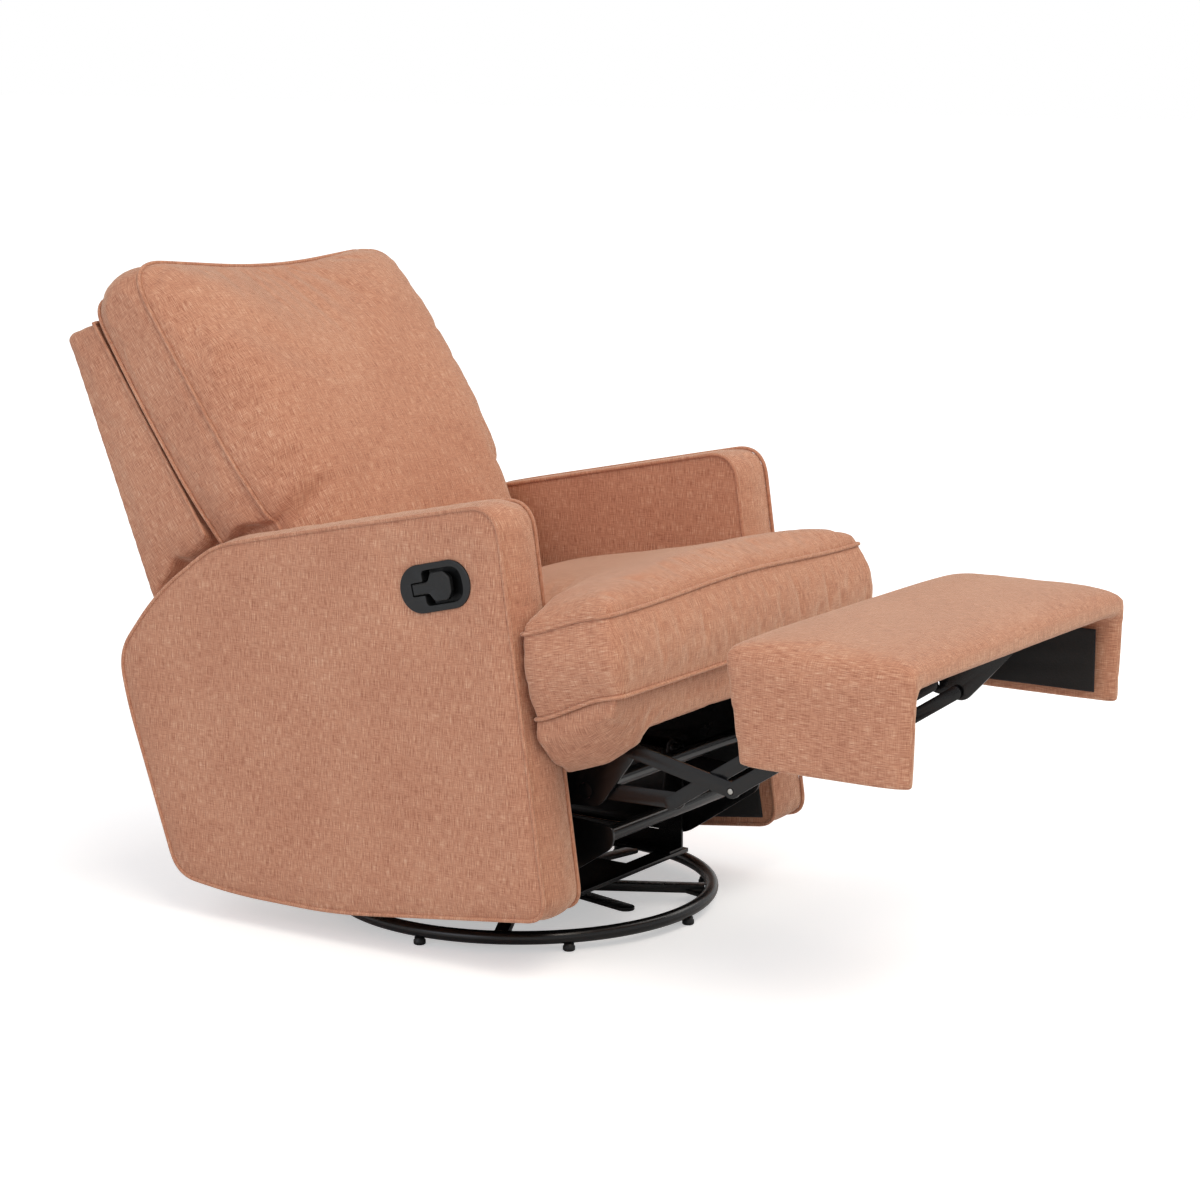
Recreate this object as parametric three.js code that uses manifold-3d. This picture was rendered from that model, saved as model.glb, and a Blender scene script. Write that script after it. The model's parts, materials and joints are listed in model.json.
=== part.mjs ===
// Swivel glider recliner, footrest out and back part way down.
// Millimetres, +Z up. The sitter faces -Y and has the release handle at -X, on the right-hand side.
import * as THREE from 'three';
import { mergeVertices } from 'three/addons/utils/BufferGeometryUtils.js';
import Module from 'manifold-3d';

const wasm = await Module();
wasm.setup();

// Driving sizes of the upholstered body
const chairWidth = 710;
const armThickness = 86;
const armFrontY = -284;
const armBehindBack = 338;
const armBottomZ = 41;
const armTopZ = 666;
const armCrown = 8;
const armCrownDepth = 26;

// Driving sizes of the seat, which is pitched up at the front
const seatFrontY = -382;
const seatFrontZ = 531;
const seatPitchDeg = 11;
const seatDepth = 522;
const seatThickness = 109;
const seatCrown = 46;
const earLength = 143;
const earInset = 8;
const sideClearance = 7;
const boxingSwell = 6;

// Driving sizes of the back, which leans over backwards from its hinge
const backLeanDeg = 34.75;
const backGap = 14.59;
const backFootZ = 432;
const backHeight = 630;
const outerBackHeight = 600;
const backBoxing = 97;
const backCrown = 56;
const shellGap = 11;
const backFlare = 28;
const hingeBehindFoot = 71;
const backHingeZ = 328;

// Driving sizes of the footrest
const footrestInset = 39;
const footrestRearY = -545;
const footrestFrontY = -831;
const footrestTopZ = 509;
const footrestWingDrop = 162;
const footrestBoard = 38;
const footrestWing = 26;

// Driving sizes of the steel
const ringRadius = 285;
const ringTube = 10;
const glideHeight = 11;
const plate = 4;
const plateGap = 1;
const fit = 0.3;
const overrun = 5;
const rivetRadius = 4.5;
const holeClearance = 0.6;

// Pivots of the footrest linkage, in the plane of each side
const foldPivotY = -330;
const foldPivotZ = 325;
const crossPivotY = -477;
const crossPivotZ = 293;
const heelPivotY = -408;
const heelPivotZ = 254;
const elbowPivotY = -510;
const elbowPivotZ = 287;
const boardPivotY = -602.3;
const boardPivotZ = 346.9;
const bracePivotY = -568.8;
const bracePivotZ = 357.5;
const driveY = -263.8;
const driveZ = 250.8;

// Pivots of the glide linkage and of the tilting seat frame
const frontLinkY = -150;
const rearLinkY = 110;
const linkTopZ = 215;
const linkDrop = 120;
const tiltY = 0;
const tiltZ = 200;

// Colours and finishes
const cloth = { color: 0xc08e74, roughness: 0.95, metalness: 0 };
const blackCloth = { color: 0x1b1b1c, roughness: 0.9, metalness: 0 };
const blackSteel = { color: 0x141414, roughness: 0.35, metalness: 0.6 };
const brightSteel = { color: 0xb9b9b6, roughness: 0.3, metalness: 0.9 };
const timber = { color: 0xb58d5c, roughness: 0.8, metalness: 0 };
const blackPlastic = { color: 0x161616, roughness: 0.55, metalness: 0 };
const redNylon = { color: 0xc0262a, roughness: 0.5, metalness: 0 };

const recliner = new THREE.Group();
const sides = [['right', -1], ['left', 1]];
const halfWidth = chairWidth / 2;
const armInner = halfWidth - armThickness;
const footrestHalfWidth = halfWidth - footrestInset;
const seatPitch = THREE.MathUtils.degToRad(seatPitchDeg);
const backFootY = seatFrontY + seatDepth * Math.cos(seatPitch) + backGap;
const backHingeY = backFootY + hingeBehindFoot;
const armRearY = backFootY + armBehindBack;
const sideBasis = new THREE.Matrix4().makeBasis(
  new THREE.Vector3(0, 1, 0), new THREE.Vector3(0, 0, 1), new THREE.Vector3(1, 0, 0));

function addPiece(name, geometry, finish, parent = recliner) {
  const mesh = new THREE.Mesh(geometry, new THREE.MeshStandardMaterial(finish));
  mesh.name = name;
  parent.add(mesh);
  return mesh;
}

// A closed mesh as a solid that can be joined and cut
function solid(geometry) {
  const bare = geometry.clone();
  bare.deleteAttribute('normal');
  bare.deleteAttribute('uv');
  const merged = mergeVertices(bare);
  return new wasm.Manifold(new wasm.Mesh({
    numProp: 3,
    vertProperties: new Float32Array(merged.attributes.position.array),
    triVerts: new Uint32Array(merged.index.array),
  }));
}

function shell(body) {
  const mesh = body.getMesh();
  const geometry = new THREE.BufferGeometry();
  geometry.setAttribute('position', new THREE.BufferAttribute(new Float32Array(mesh.vertProperties), 3));
  geometry.setIndex(new THREE.BufferAttribute(new Uint32Array(mesh.triVerts), 1));
  return geometry;
}

function join(...geometries) {
  return shell(geometries.map(solid).reduce((whole, piece) => whole.add(piece)));
}

function cut(geometry, ...tools) {
  return shell(tools.map(solid).reduce((whole, tool) => whole.subtract(tool), solid(geometry)));
}

// Lowest and highest X of a layer that lies between two distances from the middle, on one side
function layer(side, inner, outer) {
  return side > 0 ? [inner, outer] : [-outer, -inner];
}

// Points given as shares of a size, measured from an origin
function fromShares(shares, originY, originZ, sizeY, sizeZ) {
  return shares.map(([across, up]) => [originY + across * sizeY, originZ + up * sizeZ]);
}

// Closed outline through corner points, each corner rounded by its own radius
function roundedOutline(points, radii) {
  const longestShare = 0.45;
  const shape = new THREE.Shape();
  points.forEach((point, index) => {
    const corner = new THREE.Vector2(...point);
    const before = new THREE.Vector2(...points[(index + points.length - 1) % points.length]).sub(corner);
    const after = new THREE.Vector2(...points[(index + 1) % points.length]).sub(corner);
    const radius = Math.min(radii[index], longestShare * before.length(), longestShare * after.length());
    const start = before.setLength(radius).add(corner);
    const end = after.setLength(radius).add(corner);
    if (index === 0) shape.moveTo(start.x, start.y);
    else shape.lineTo(start.x, start.y);
    if (radius > 0) shape.quadraticCurveTo(corner.x, corner.y, end.x, end.y);
  });
  shape.closePath();
  return shape;
}

function addHole(shape, y, z, radius) {
  const hole = new THREE.Path();
  hole.absarc(y, z, radius, 0, Math.PI * 2, true);
  shape.holes.push(hole);
}

// A flat piece in the plane of the chair's side, from one X to another
function sidePiece(shape, [low, high], round = 0, curveSegments = 6) {
  const geometry = new THREE.ExtrudeGeometry(shape, {
    depth: high - low - 2 * round,
    bevelEnabled: round > 0,
    bevelThickness: round,
    bevelSize: round,
    bevelOffset: -round,
    bevelSegments: 2,
    curveSegments,
  });
  geometry.applyMatrix4(sideBasis);
  geometry.translate(low + round, 0, 0);
  return geometry;
}

// A round piece lying across the chair
function crossRod(y, z, radius, [low, high], segments = 12) {
  const geometry = new THREE.CylinderGeometry(radius, radius, high - low, segments);
  geometry.rotateZ(Math.PI / 2);
  geometry.translate((low + high) / 2, y, z);
  return geometry;
}

function crossTube(y, z, radius, wall, [low, high], segments = 16) {
  const bore = crossRod(y, z, radius - wall, [low - overrun, high + overrun], segments);
  return cut(crossRod(y, z, radius, [low, high], segments), bore);
}

// A round piece standing on the floor's normal
function post(x, y, lowZ, highZ, radius, segments = 24) {
  const geometry = new THREE.CylinderGeometry(radius, radius, highZ - lowZ, segments);
  geometry.rotateX(Math.PI / 2);
  geometry.translate(x, y, (lowZ + highZ) / 2);
  return geometry;
}

function block(lowX, highX, lowY, highY, lowZ, highZ) {
  const geometry = new THREE.BoxGeometry(highX - lowX, highY - lowY, highZ - lowZ);
  geometry.translate((lowX + highX) / 2, (lowY + highY) / 2, (lowZ + highZ) / 2);
  return geometry;
}

// Flat bar with round ends between two pivots
function barShape(startY, startZ, endY, endZ, halfBreadth) {
  const angle = Math.atan2(endZ - startZ, endY - startY);
  const shape = new THREE.Shape();
  shape.absarc(endY, endZ, halfBreadth, angle - Math.PI / 2, angle + Math.PI / 2, false);
  shape.absarc(startY, startZ, halfBreadth, angle + Math.PI / 2, angle + Math.PI * 1.5, false);
  shape.closePath();
  return shape;
}

// Points round a closed outline, with the long straight runs divided into steps
function dividedOutline(shape, longestStep) {
  const curveSteps = 3;
  const corners = shape.getPoints(curveSteps).slice(0, -1);
  return corners.flatMap((corner, index) => {
    const next = corners[(index + 1) % corners.length];
    const steps = Math.ceil(corner.distanceTo(next) / longestStep);
    return Array.from({ length: steps }, (_, step) => corner.clone().lerp(next, step / steps));
  });
}

// Outward unit normals at the points of a closed outline that runs counter-clockwise
function outwardNormals(outline) {
  return outline.map((point, index) => {
    const before = outline[(index + outline.length - 1) % outline.length];
    const after = outline[(index + 1) % outline.length];
    return new THREE.Vector2(after.y - before.y, before.x - after.x).normalize();
  });
}

// Padded closed form: an outline carried up its boxing, then crowned over the top
// The crown rises as crown (1 - share^4), where share is how far out from the middle a point lies
function paddedForm(outline, { thickness, crown, underCrown, centreY, swell }) {
  const edgeShare = 0.985;
  const underShares = [0.4, 0.8];
  const boxingShares = [0.05, 0.3, 0.7, 0.95];
  const topShares = [0.95, 0.86, 0.72, 0.52, 0.28];
  const rise = (share) => 1 - share ** 4;
  const normals = outwardNormals(outline);
  const ring = (share, height) => outline.map(({ x, y }) => (
    [x * share, centreY + (y - centreY) * share, height]));
  const boxingRing = (up) => outline.map(({ x, y }, point) => {
    const out = swell * (1 - (2 * up - 1) ** 2);
    return [x + out * normals[point].x, y + out * normals[point].y, -thickness * (1 - up)];
  });
  const rows = [
    ...underShares.map((share) => ring(share, -thickness - underCrown * rise(share))),
    ring(edgeShare, -thickness),
    ...boxingShares.map(boxingRing),
    ring(edgeShare, 0),
    ...topShares.map((share) => ring(share, crown * rise(share))),
  ];
  const count = outline.length;
  const positions = [0, centreY, -thickness - underCrown, ...rows.flat(2), 0, centreY, crown];
  const topIndex = positions.length / 3 - 1;
  const index = [];
  for (let column = 0; column < count; column += 1) {
    const next = (column + 1) % count;
    index.push(0, 1 + next, 1 + column);
    for (let row = 0; row < rows.length - 1; row += 1) {
      const lower = 1 + row * count;
      const upper = lower + count;
      index.push(lower + column, lower + next, upper + next, lower + column, upper + next, upper + column);
    }
    const last = 1 + (rows.length - 1) * count;
    index.push(last + column, last + next, topIndex);
  }
  const geometry = new THREE.BufferGeometry();
  geometry.setAttribute('position', new THREE.Float32BufferAttribute(positions, 3));
  geometry.setIndex(index);
  return geometry;
}

// Base: a bent tube ring on plastic floor glides, with four spokes to the middle
const ringBottomZ = glideHeight + fit;
const ringZ = ringBottomZ + ringTube;
const ringSides = 48;
const ringTubeSides = 8;
const ringInside = (ringRadius - ringTube) * Math.cos(Math.PI / ringSides);
const spokeBreadth = 20;
const spokeDepth = 12;
const spokeTurnDeg = 28;
const hubRadius = 46;
const spokeBottomZ = ringZ - spokeDepth / 2;
const spokeTopZ = ringZ + spokeDepth / 2;

function buildRing() {
  const ring = new THREE.TorusGeometry(ringRadius, ringTube, ringTubeSides, ringSides);
  ring.translate(0, 0, ringZ);
  addPiece('base_ring', ring, blackSteel);
}

function buildCross() {
  const spokeReach = ringInside - fit;
  const gussetLength = 26;
  const gussetSpread = 24;
  const pieces = [post(0, 0, spokeBottomZ, spokeTopZ, hubRadius)];
  for (let spoke = 0; spoke < 4; spoke += 1) {
    const bar = block(0, spokeReach, -spokeBreadth / 2, spokeBreadth / 2, spokeBottomZ, spokeTopZ);
    const gusset = new THREE.Shape();
    const endFlat = Math.sqrt(spokeReach ** 2 - (spokeBreadth / 2 + gussetSpread) ** 2);
    gusset.moveTo(endFlat - gussetLength, -spokeBreadth / 2);
    gusset.lineTo(endFlat, -spokeBreadth / 2 - gussetSpread);
    gusset.lineTo(endFlat, spokeBreadth / 2 + gussetSpread);
    gusset.lineTo(endFlat - gussetLength, spokeBreadth / 2);
    gusset.closePath();
    const web = new THREE.ExtrudeGeometry(gusset, { depth: spokeDepth / 2, bevelEnabled: false });
    web.translate(0, 0, spokeBottomZ);
    [bar, web].forEach((piece) => {
      piece.rotateZ(THREE.MathUtils.degToRad(spokeTurnDeg + 90 * spoke));
      pieces.push(piece);
    });
  }
  addPiece('base_cross', join(...pieces), blackSteel);
}

const stopReach = 236;
const stopBreadth = 26;
const stopThickness = 5;
const stopTurnDeg = 257;
const stopBottomZ = spokeTopZ + fit;
const stopTopZ = stopBottomZ + stopThickness;

// Flat star with four round-ended arms and one short drilled lug, bolted over the spokes
function buildStopStar() {
  const lugReach = 150;
  const lugTurnDeg = 320;
  const lugHole = 5;
  const arms = [];
  const flatBar = (reach, turnDeg, holeRadius) => {
    const shape = barShape(0, 0, reach - stopBreadth / 2, 0, stopBreadth / 2);
    if (holeRadius > 0) addHole(shape, reach - stopBreadth / 2, 0, holeRadius);
    const bar = new THREE.ExtrudeGeometry(shape,
      { depth: stopThickness, bevelEnabled: false, curveSegments: 4 });
    bar.rotateZ(THREE.MathUtils.degToRad(turnDeg));
    bar.translate(0, 0, stopBottomZ);
    return bar;
  };
  for (let arm = 0; arm < 4; arm += 1) arms.push(flatBar(stopReach, stopTurnDeg + 90 * arm, 0));
  arms.push(flatBar(lugReach, lugTurnDeg, lugHole));
  arms.push(post(0, 0, stopBottomZ, stopTopZ, hubRadius));
  addPiece('base_stop_star', join(...arms), blackSteel);
}

function buildGlides() {
  const glideRadius = 9;
  const glideCount = 8;
  const glideTurnDeg = 3;
  for (let glide = 0; glide < glideCount; glide += 1) {
    const angle = THREE.MathUtils.degToRad(glideTurnDeg + (360 / glideCount) * glide);
    const [x, y] = [ringRadius * Math.cos(angle), ringRadius * Math.sin(angle)];
    const foot = post(x, y, 0, glideHeight, glideRadius, 10);
    addPiece(`floor_glide_${glide + 1}`, foot, blackPlastic);
  }
}

// Swivel: a bearing stack on the star, carrying the plate that the glider stands on
const bearingRadius = 62;
const raceHeight = 8;
const lowerRaceTopZ = stopTopZ + fit + raceHeight;
const upperRaceTopZ = lowerRaceTopZ + fit + raceHeight;
const plateBottomZ = upperRaceTopZ + fit;
const swivelPlate = 6;
const plateTopZ = plateBottomZ + swivelPlate;
const mechanismInset = 81;
const hangerInner = armInner - mechanismInset;
const hangerOuter = hangerInner + plate;
const boltRadius = 8;
const boltClearance = 0.5;

function buildSwivel() {
  const race = (lowZ, highZ) => cut(post(0, 0, lowZ, highZ, bearingRadius),
    post(0, 0, lowZ - overrun, highZ + overrun, boltRadius + boltClearance, 16));
  addPiece('bearing_lower_race', race(stopTopZ + fit, lowerRaceTopZ), brightSteel);
  addPiece('bearing_upper_race', race(lowerRaceTopZ + fit, upperRaceTopZ), brightSteel);
  const boltHead = 6;
  const headRadius = 14;
  const bolt = join(post(0, 0, stopTopZ + fit, plateTopZ + fit + boltHead / 2, boltRadius, 16),
    post(0, 0, plateTopZ + fit, plateTopZ + fit + boltHead, headRadius, 6));
  addPiece('swivel_bolt', bolt, brightSteel);
  const plateMargin = 16;
  const platform = block(-hangerInner - plateMargin, hangerInner + plateMargin, frontLinkY - plateMargin,
    rearLinkY + plateMargin, plateBottomZ, plateTopZ);
  const windowFrontY = frontLinkY + plateMargin;
  const windowRearY = rearLinkY - plateMargin;
  const cutouts = [-1, 1].map((side) => {
    const [low, high] = layer(side, bearingRadius + plateMargin, hangerInner - plateMargin);
    return block(low, high, windowFrontY, windowRearY, plateBottomZ - overrun, plateTopZ + overrun);
  });
  const boltHole = post(0, 0, plateBottomZ - overrun, plateTopZ + overrun, boltRadius + boltClearance, 16);
  addPiece('swivel_plate', cut(platform, ...cutouts, boltHole), blackSteel);
}

// Glider brackets stand on the plate and carry the upper pivots of the swing links
const linkLayerInner = hangerOuter + plateGap;
const linkLayerOuter = linkLayerInner + plate;
const carriageInner = linkLayerOuter + plateGap;
const carriageOuter = carriageInner + plate;
const linkBottomZ = linkTopZ - linkDrop;
const linkPin = 6;
const pinStub = 4;

function buildGliderBrackets() {
  const footHalf = 34;
  const hornRadius = 14;
  const stripHeight = 26;
  const footZ = plateTopZ + fit;
  const shape = new THREE.Shape();
  shape.moveTo(frontLinkY - hornRadius, footZ);
  shape.lineTo(rearLinkY + hornRadius, footZ);
  shape.lineTo(rearLinkY + hornRadius, linkTopZ);
  shape.absarc(rearLinkY, linkTopZ, hornRadius, 0, Math.PI, false);
  shape.lineTo(rearLinkY - 2 * hornRadius, footZ + stripHeight);
  shape.lineTo(frontLinkY + 2 * hornRadius, footZ + stripHeight);
  shape.lineTo(frontLinkY + hornRadius, linkTopZ);
  shape.absarc(frontLinkY, linkTopZ, hornRadius, 0, Math.PI, false);
  shape.closePath();
  addHole(shape, frontLinkY, linkTopZ, linkPin + holeClearance);
  addHole(shape, rearLinkY, linkTopZ, linkPin + holeClearance);
  sides.forEach(([sideName, side]) => {
    const web = sidePiece(shape, layer(side, hangerInner, hangerOuter));
    const [flangeLow, flangeHigh] = layer(side, hangerInner - footHalf, hangerInner + plate / 2);
    const flange = block(flangeLow, flangeHigh, frontLinkY - hornRadius, rearLinkY + hornRadius,
      footZ, footZ + plate);
    addPiece(`glider_bracket_${sideName}`, join(web, flange), blackSteel);
  });
}

function buildSwingLinks() {
  const halfBreadth = 12;
  [['front', frontLinkY], ['rear', rearLinkY]].forEach(([end, pivotY]) => {
    sides.forEach(([sideName, side]) => {
      const shape = barShape(pivotY, linkBottomZ, pivotY, linkTopZ, halfBreadth);
      const bar = sidePiece(shape, layer(side, linkLayerInner, linkLayerOuter));
      const middle = (linkLayerInner + linkLayerOuter) / 2;
      const upperPin = crossRod(pivotY, linkTopZ, linkPin, layer(side, hangerInner - pinStub, middle));
      const lowerPin = crossRod(pivotY, linkBottomZ, linkPin, layer(side, middle, carriageOuter + pinStub));
      addPiece(`${end}_swing_link_${sideName}`, join(bar, upperPin, lowerPin), blackSteel);
    });
  });
}

// Carriage: two side plates hung on the swing links, tied by a front and a rear tube
const frontTubeY = -280;
const frontTubeZ = 182;
const rearTubeY = 190;
const rearTubeZ = 160;
const tieRadius = 11;
const tieWall = 2;
const tiltPin = 8;

function buildCarriage() {
  const edge = 15;
  sides.forEach(([sideName, side]) => {
    const corners = [
      [frontLinkY - edge, linkBottomZ - edge],
      [rearLinkY + edge, linkBottomZ - edge],
      [rearTubeY + edge, rearTubeZ - edge],
      [rearTubeY + edge, rearTubeZ + edge],
      [tiltY + 2 * edge, tiltZ + edge],
      [tiltY - 2 * edge, tiltZ + edge],
      [frontTubeY - edge, frontTubeZ + edge],
      [frontTubeY - edge, frontTubeZ - edge],
    ];
    const shape = roundedOutline(corners, corners.map(() => edge));
    addHole(shape, frontLinkY, linkBottomZ, linkPin + holeClearance);
    addHole(shape, rearLinkY, linkBottomZ, linkPin + holeClearance);
    addHole(shape, tiltY, tiltZ, tiltPin + holeClearance);
    const web = sidePiece(shape, layer(side, carriageInner, carriageOuter));
    addPiece(`carriage_plate_${sideName}`, web, blackSteel);
  });
  const reach = carriageInner - fit;
  [['front', frontTubeY, frontTubeZ], ['rear', rearTubeY, rearTubeZ]].forEach(([end, y, z]) => {
    addPiece(`carriage_${end}_tube`, crossTube(y, z, tieRadius, tieWall, [-reach, reach]), blackSteel);
  });
}

// Footrest linkage layers: the cranks and bushes inside the side rail, the links outside it
const crankSpace = 19.5;
const railInner = carriageOuter + crankSpace;
const railOuter = railInner + plate;
const bushOuter = railInner - fit;
const bushWidth = 6;
const crankOuter = bushOuter - bushWidth - plateGap;
const crankInner = crankOuter - plate;
const crossInner = railOuter + plateGap;
const crossOuter = crossInner + plate;
const foldInner = crossOuter + plateGap;
const foldOuter = foldInner + plate;
const toeInner = foldOuter + plateGap;
const toeOuter = toeInner + plate;
const bracketInner = toeOuter + plateGap;
const bracketOuter = bracketInner + plate;
const headRadius = 8;
const driveRadius = 11;

// A point of the pitched seat, from its distance behind the front edge and its height above the piping
function seatPoint(behind, above) {
  return [
    seatFrontY + behind * Math.cos(seatPitch) + above * Math.sin(seatPitch),
    seatFrontZ - behind * Math.sin(seatPitch) + above * Math.cos(seatPitch),
  ];
}

const boardDrop = 8;
const boardHeight = 40;
const boardTop = -seatThickness - boardDrop;
const boardBottom = boardTop - boardHeight;
const boardThickness = 20;
const seatFrameFront = 48;
const seatFrameInset = 22;
const seatFrameRear = seatDepth - seatFrameInset;
const apronInner = bracketOuter + plateGap + fit;
const apronRearY = -268;

// Side rails: pressed plates that carry the footrest links, the tilt pins and the back hinge
function buildSideRails() {
  const lug = 22;
  const hingeLug = 18;
  const nose = 16;
  const heelDrop = 52;
  const heelBack = 90;
  const corners = [
    [foldPivotY - nose, foldPivotZ + nose],
    [foldPivotY - nose, foldPivotZ - nose],
    [driveY - lug, driveZ - lug],
    [driveY + lug, driveZ - lug],
    [tiltY - lug, tiltZ - lug],
    [tiltY + lug, tiltZ - lug],
    [backHingeY + hingeLug, backHingeZ - hingeLug],
    [backHingeY + hingeLug, backHingeZ + hingeLug],
    [backHingeY - hingeLug, backHingeZ + hingeLug],
    [backHingeY - heelBack, backHingeZ - heelDrop],
    seatPoint(seatFrameRear - boardThickness, boardTop - boardDrop),
    seatPoint(seatFrameFront + 2 * boardThickness, boardTop - boardDrop),
  ];
  const shape = roundedOutline(corners, corners.map(() => nose));
  addHole(shape, driveY, driveZ, driveRadius + holeClearance);
  addHole(shape, backHingeY, backHingeZ, linkPin + holeClearance);
  sides.forEach(([sideName, side]) => {
    const web = sidePiece(shape, layer(side, railInner, railOuter));
    const middle = (railInner + railOuter) / 2;
    const collarRadius = 13;
    const tilt = crossRod(tiltY, tiltZ, tiltPin, layer(side, carriageInner - pinStub, middle));
    const collar = crossRod(tiltY, tiltZ, collarRadius, layer(side, carriageOuter + plateGap, middle));
    const fold = crossRod(foldPivotY, foldPivotZ, rivetRadius, layer(side, middle, foldOuter + fit));
    addPiece(`side_rail_${sideName}`, join(web, tilt, collar, fold), blackSteel);
  });
}

// Timber seat frame under the cushion, with a sprung deck laid in it
function buildSeatFrame() {
  const slanted = (front, rear, low, high) => {
    const shape = new THREE.Shape();
    [seatPoint(front, low), seatPoint(rear, low), seatPoint(rear, high), seatPoint(front, high)]
      .forEach(([y, z], index) => (index === 0 ? shape.moveTo(y, z) : shape.lineTo(y, z)));
    shape.closePath();
    return shape;
  };
  const widen = 190;
  sides.forEach(([sideName, side]) => {
    const front = sidePiece(slanted(seatFrameFront, seatFrameRear, boardBottom, boardTop),
      layer(side, railOuter + fit, apronInner - fit));
    const rear = sidePiece(slanted(widen, seatFrameRear, boardBottom, boardTop),
      layer(side, railOuter + fit, armInner - fit));
    addPiece(`seat_side_board_${sideName}`, join(front, rear), timber);
  });
  const reach = railInner - fit;
  const frontShape = slanted(seatFrameFront, seatFrameFront + boardThickness, boardBottom, boardTop);
  addPiece('seat_front_board', sidePiece(frontShape, [-reach, reach]), timber);
  const rearShape = slanted(seatFrameRear - boardThickness, seatFrameRear, boardBottom, boardTop);
  addPiece('seat_rear_board', sidePiece(rearShape, [-reach, reach]), timber);
  const deckThickness = 6;
  const deckShape = slanted(seatFrameFront + boardThickness + fit, seatFrameRear - boardThickness - fit,
    boardTop - deckThickness, boardTop);
  addPiece('seat_spring_deck', sidePiece(deckShape, [-reach, reach]), blackCloth);
}

// Seat cushion: T-shaped, boxed, crowned, with ears that wrap in front of the arms
function buildSeatCushion() {
  const earHalf = halfWidth - earInset;
  const bodyHalf = armInner - sideClearance;
  const frontRound = 34;
  const innerRound = 10;
  const rearRound = 30;
  const longestStep = 60;
  const corners = [
    [-earHalf, 0], [earHalf, 0], [earHalf, earLength], [bodyHalf, earLength],
    [bodyHalf, seatDepth], [-bodyHalf, seatDepth], [-bodyHalf, earLength], [-earHalf, earLength],
  ];
  const radii = [frontRound, frontRound, innerRound, innerRound,
    rearRound, rearRound, innerRound, innerRound];
  const outline = dividedOutline(roundedOutline(corners, radii), longestStep);
  const cushion = paddedForm(outline, {
    thickness: seatThickness, crown: seatCrown, underCrown: 0, centreY: earLength / 2, swell: boxingSwell,
  });
  const seat = new THREE.Group();
  seat.position.set(0, seatFrontY, seatFrontZ);
  seat.rotation.x = -seatPitch;
  recliner.add(seat);
  addPiece('seat_cushion', cushion, cloth, seat);
}

// Upholstered apron under the cushion: a front board, and a tapered support below each ear
function buildApron() {
  const topGap = fit;
  const frontInset = 6;
  const frontBottomY = -386;
  const frontBottomZ = 362;
  const frontThickness = 18;
  const frontTop = seatPoint(frontInset, -seatThickness - topGap);
  const boardShape = new THREE.Shape();
  boardShape.moveTo(...frontTop);
  boardShape.lineTo(frontBottomY, frontBottomZ);
  boardShape.lineTo(frontBottomY + frontThickness, frontBottomZ);
  boardShape.lineTo(...seatPoint(frontInset + frontThickness, -seatThickness - topGap));
  boardShape.closePath();
  const reach = apronInner - fit;
  addPiece('apron_front_board', sidePiece(boardShape, [-reach, reach]), cloth);

  const earHalf = halfWidth - earInset;
  const earSkirt = 27;
  const behindAt = (y, above) => (y - seatFrontY - above * Math.sin(seatPitch)) / Math.cos(seatPitch);
  const underCushion = (y, drop) => {
    const above = -seatThickness - topGap - drop;
    return seatPoint(behindAt(y, above), above);
  };
  const chinY = -373;
  const chinZ = 338;
  const jawY = -329;
  const jawZ = 308;
  const rearBottomZ = 284;
  const rearTop = underCushion(apronRearY, 0);
  const low = [frontTop, [frontBottomY, frontBottomZ], [chinY, chinZ], [jawY, jawZ],
    [apronRearY, rearBottomZ], rearTop];
  const high = [frontTop, underCushion(frontBottomY, earSkirt), underCushion(chinY, earSkirt),
    underCushion(jawY, earSkirt), underCushion(apronRearY, earSkirt), rearTop];
  sides.forEach(([sideName, side]) => {
    const stations = [[apronInner, low], [armInner, low], [earHalf, high]];
    if (side < 0) stations.reverse();
    addPiece(`apron_ear_${sideName}`, loftAcross(stations.map(([x, profile]) => [side * x, profile])), cloth);
  });
}

// A solid through outlines that stand at rising X places and have the same number of corners
function loftAcross(stations) {
  const positions = stations.flatMap(([x, profile]) => profile.flatMap(([y, z]) => [x, y, z]));
  const corners = stations[0][1].length;
  const index = [];
  for (let station = 0; station < stations.length - 1; station += 1) {
    for (let corner = 0; corner < corners; corner += 1) {
      const here = station * corners;
      const there = here + corners;
      const next = (corner + 1) % corners;
      index.push(here + corner, here + next, there + next, here + corner, there + next, there + corner);
    }
  }
  const last = (stations.length - 1) * corners;
  for (let corner = 1; corner < corners - 1; corner += 1) {
    index.push(0, corner + 1, corner, last, last + corner, last + corner + 1);
  }
  const geometry = new THREE.BufferGeometry();
  geometry.setAttribute('position', new THREE.Float32BufferAttribute(positions, 3));
  geometry.setIndex(index);
  return geometry;
}

// Arms: tall padded side panels down to the floor line, leaning with the body
const bezelLength = 122;
const bezelHeight = 68;
const bezelY = -103;
const bezelZ = 545;
const bezelTurnDeg = -13.5;
const bezelLip = 3;
const cupDepth = 24;
const cupWall = 3;
const cupMargin = 9;

function ovalShape(length, height) {
  const shape = new THREE.Shape();
  const radius = height / 2;
  const straight = length / 2 - radius;
  shape.absarc(straight, 0, radius, -Math.PI / 2, Math.PI / 2, false);
  shape.absarc(-straight, 0, radius, Math.PI / 2, Math.PI * 1.5, false);
  shape.closePath();
  return shape;
}

// An oval in the arm's outer face, turned with the arm, between two X places
function ovalPiece(length, height, lowX, highX) {
  const geometry = new THREE.ExtrudeGeometry(ovalShape(length, height),
    { depth: highX - lowX, bevelEnabled: false, curveSegments: 6 });
  geometry.rotateZ(THREE.MathUtils.degToRad(bezelTurnDeg));
  geometry.applyMatrix4(sideBasis);
  geometry.translate(lowX, bezelY, bezelZ);
  return geometry;
}

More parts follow.
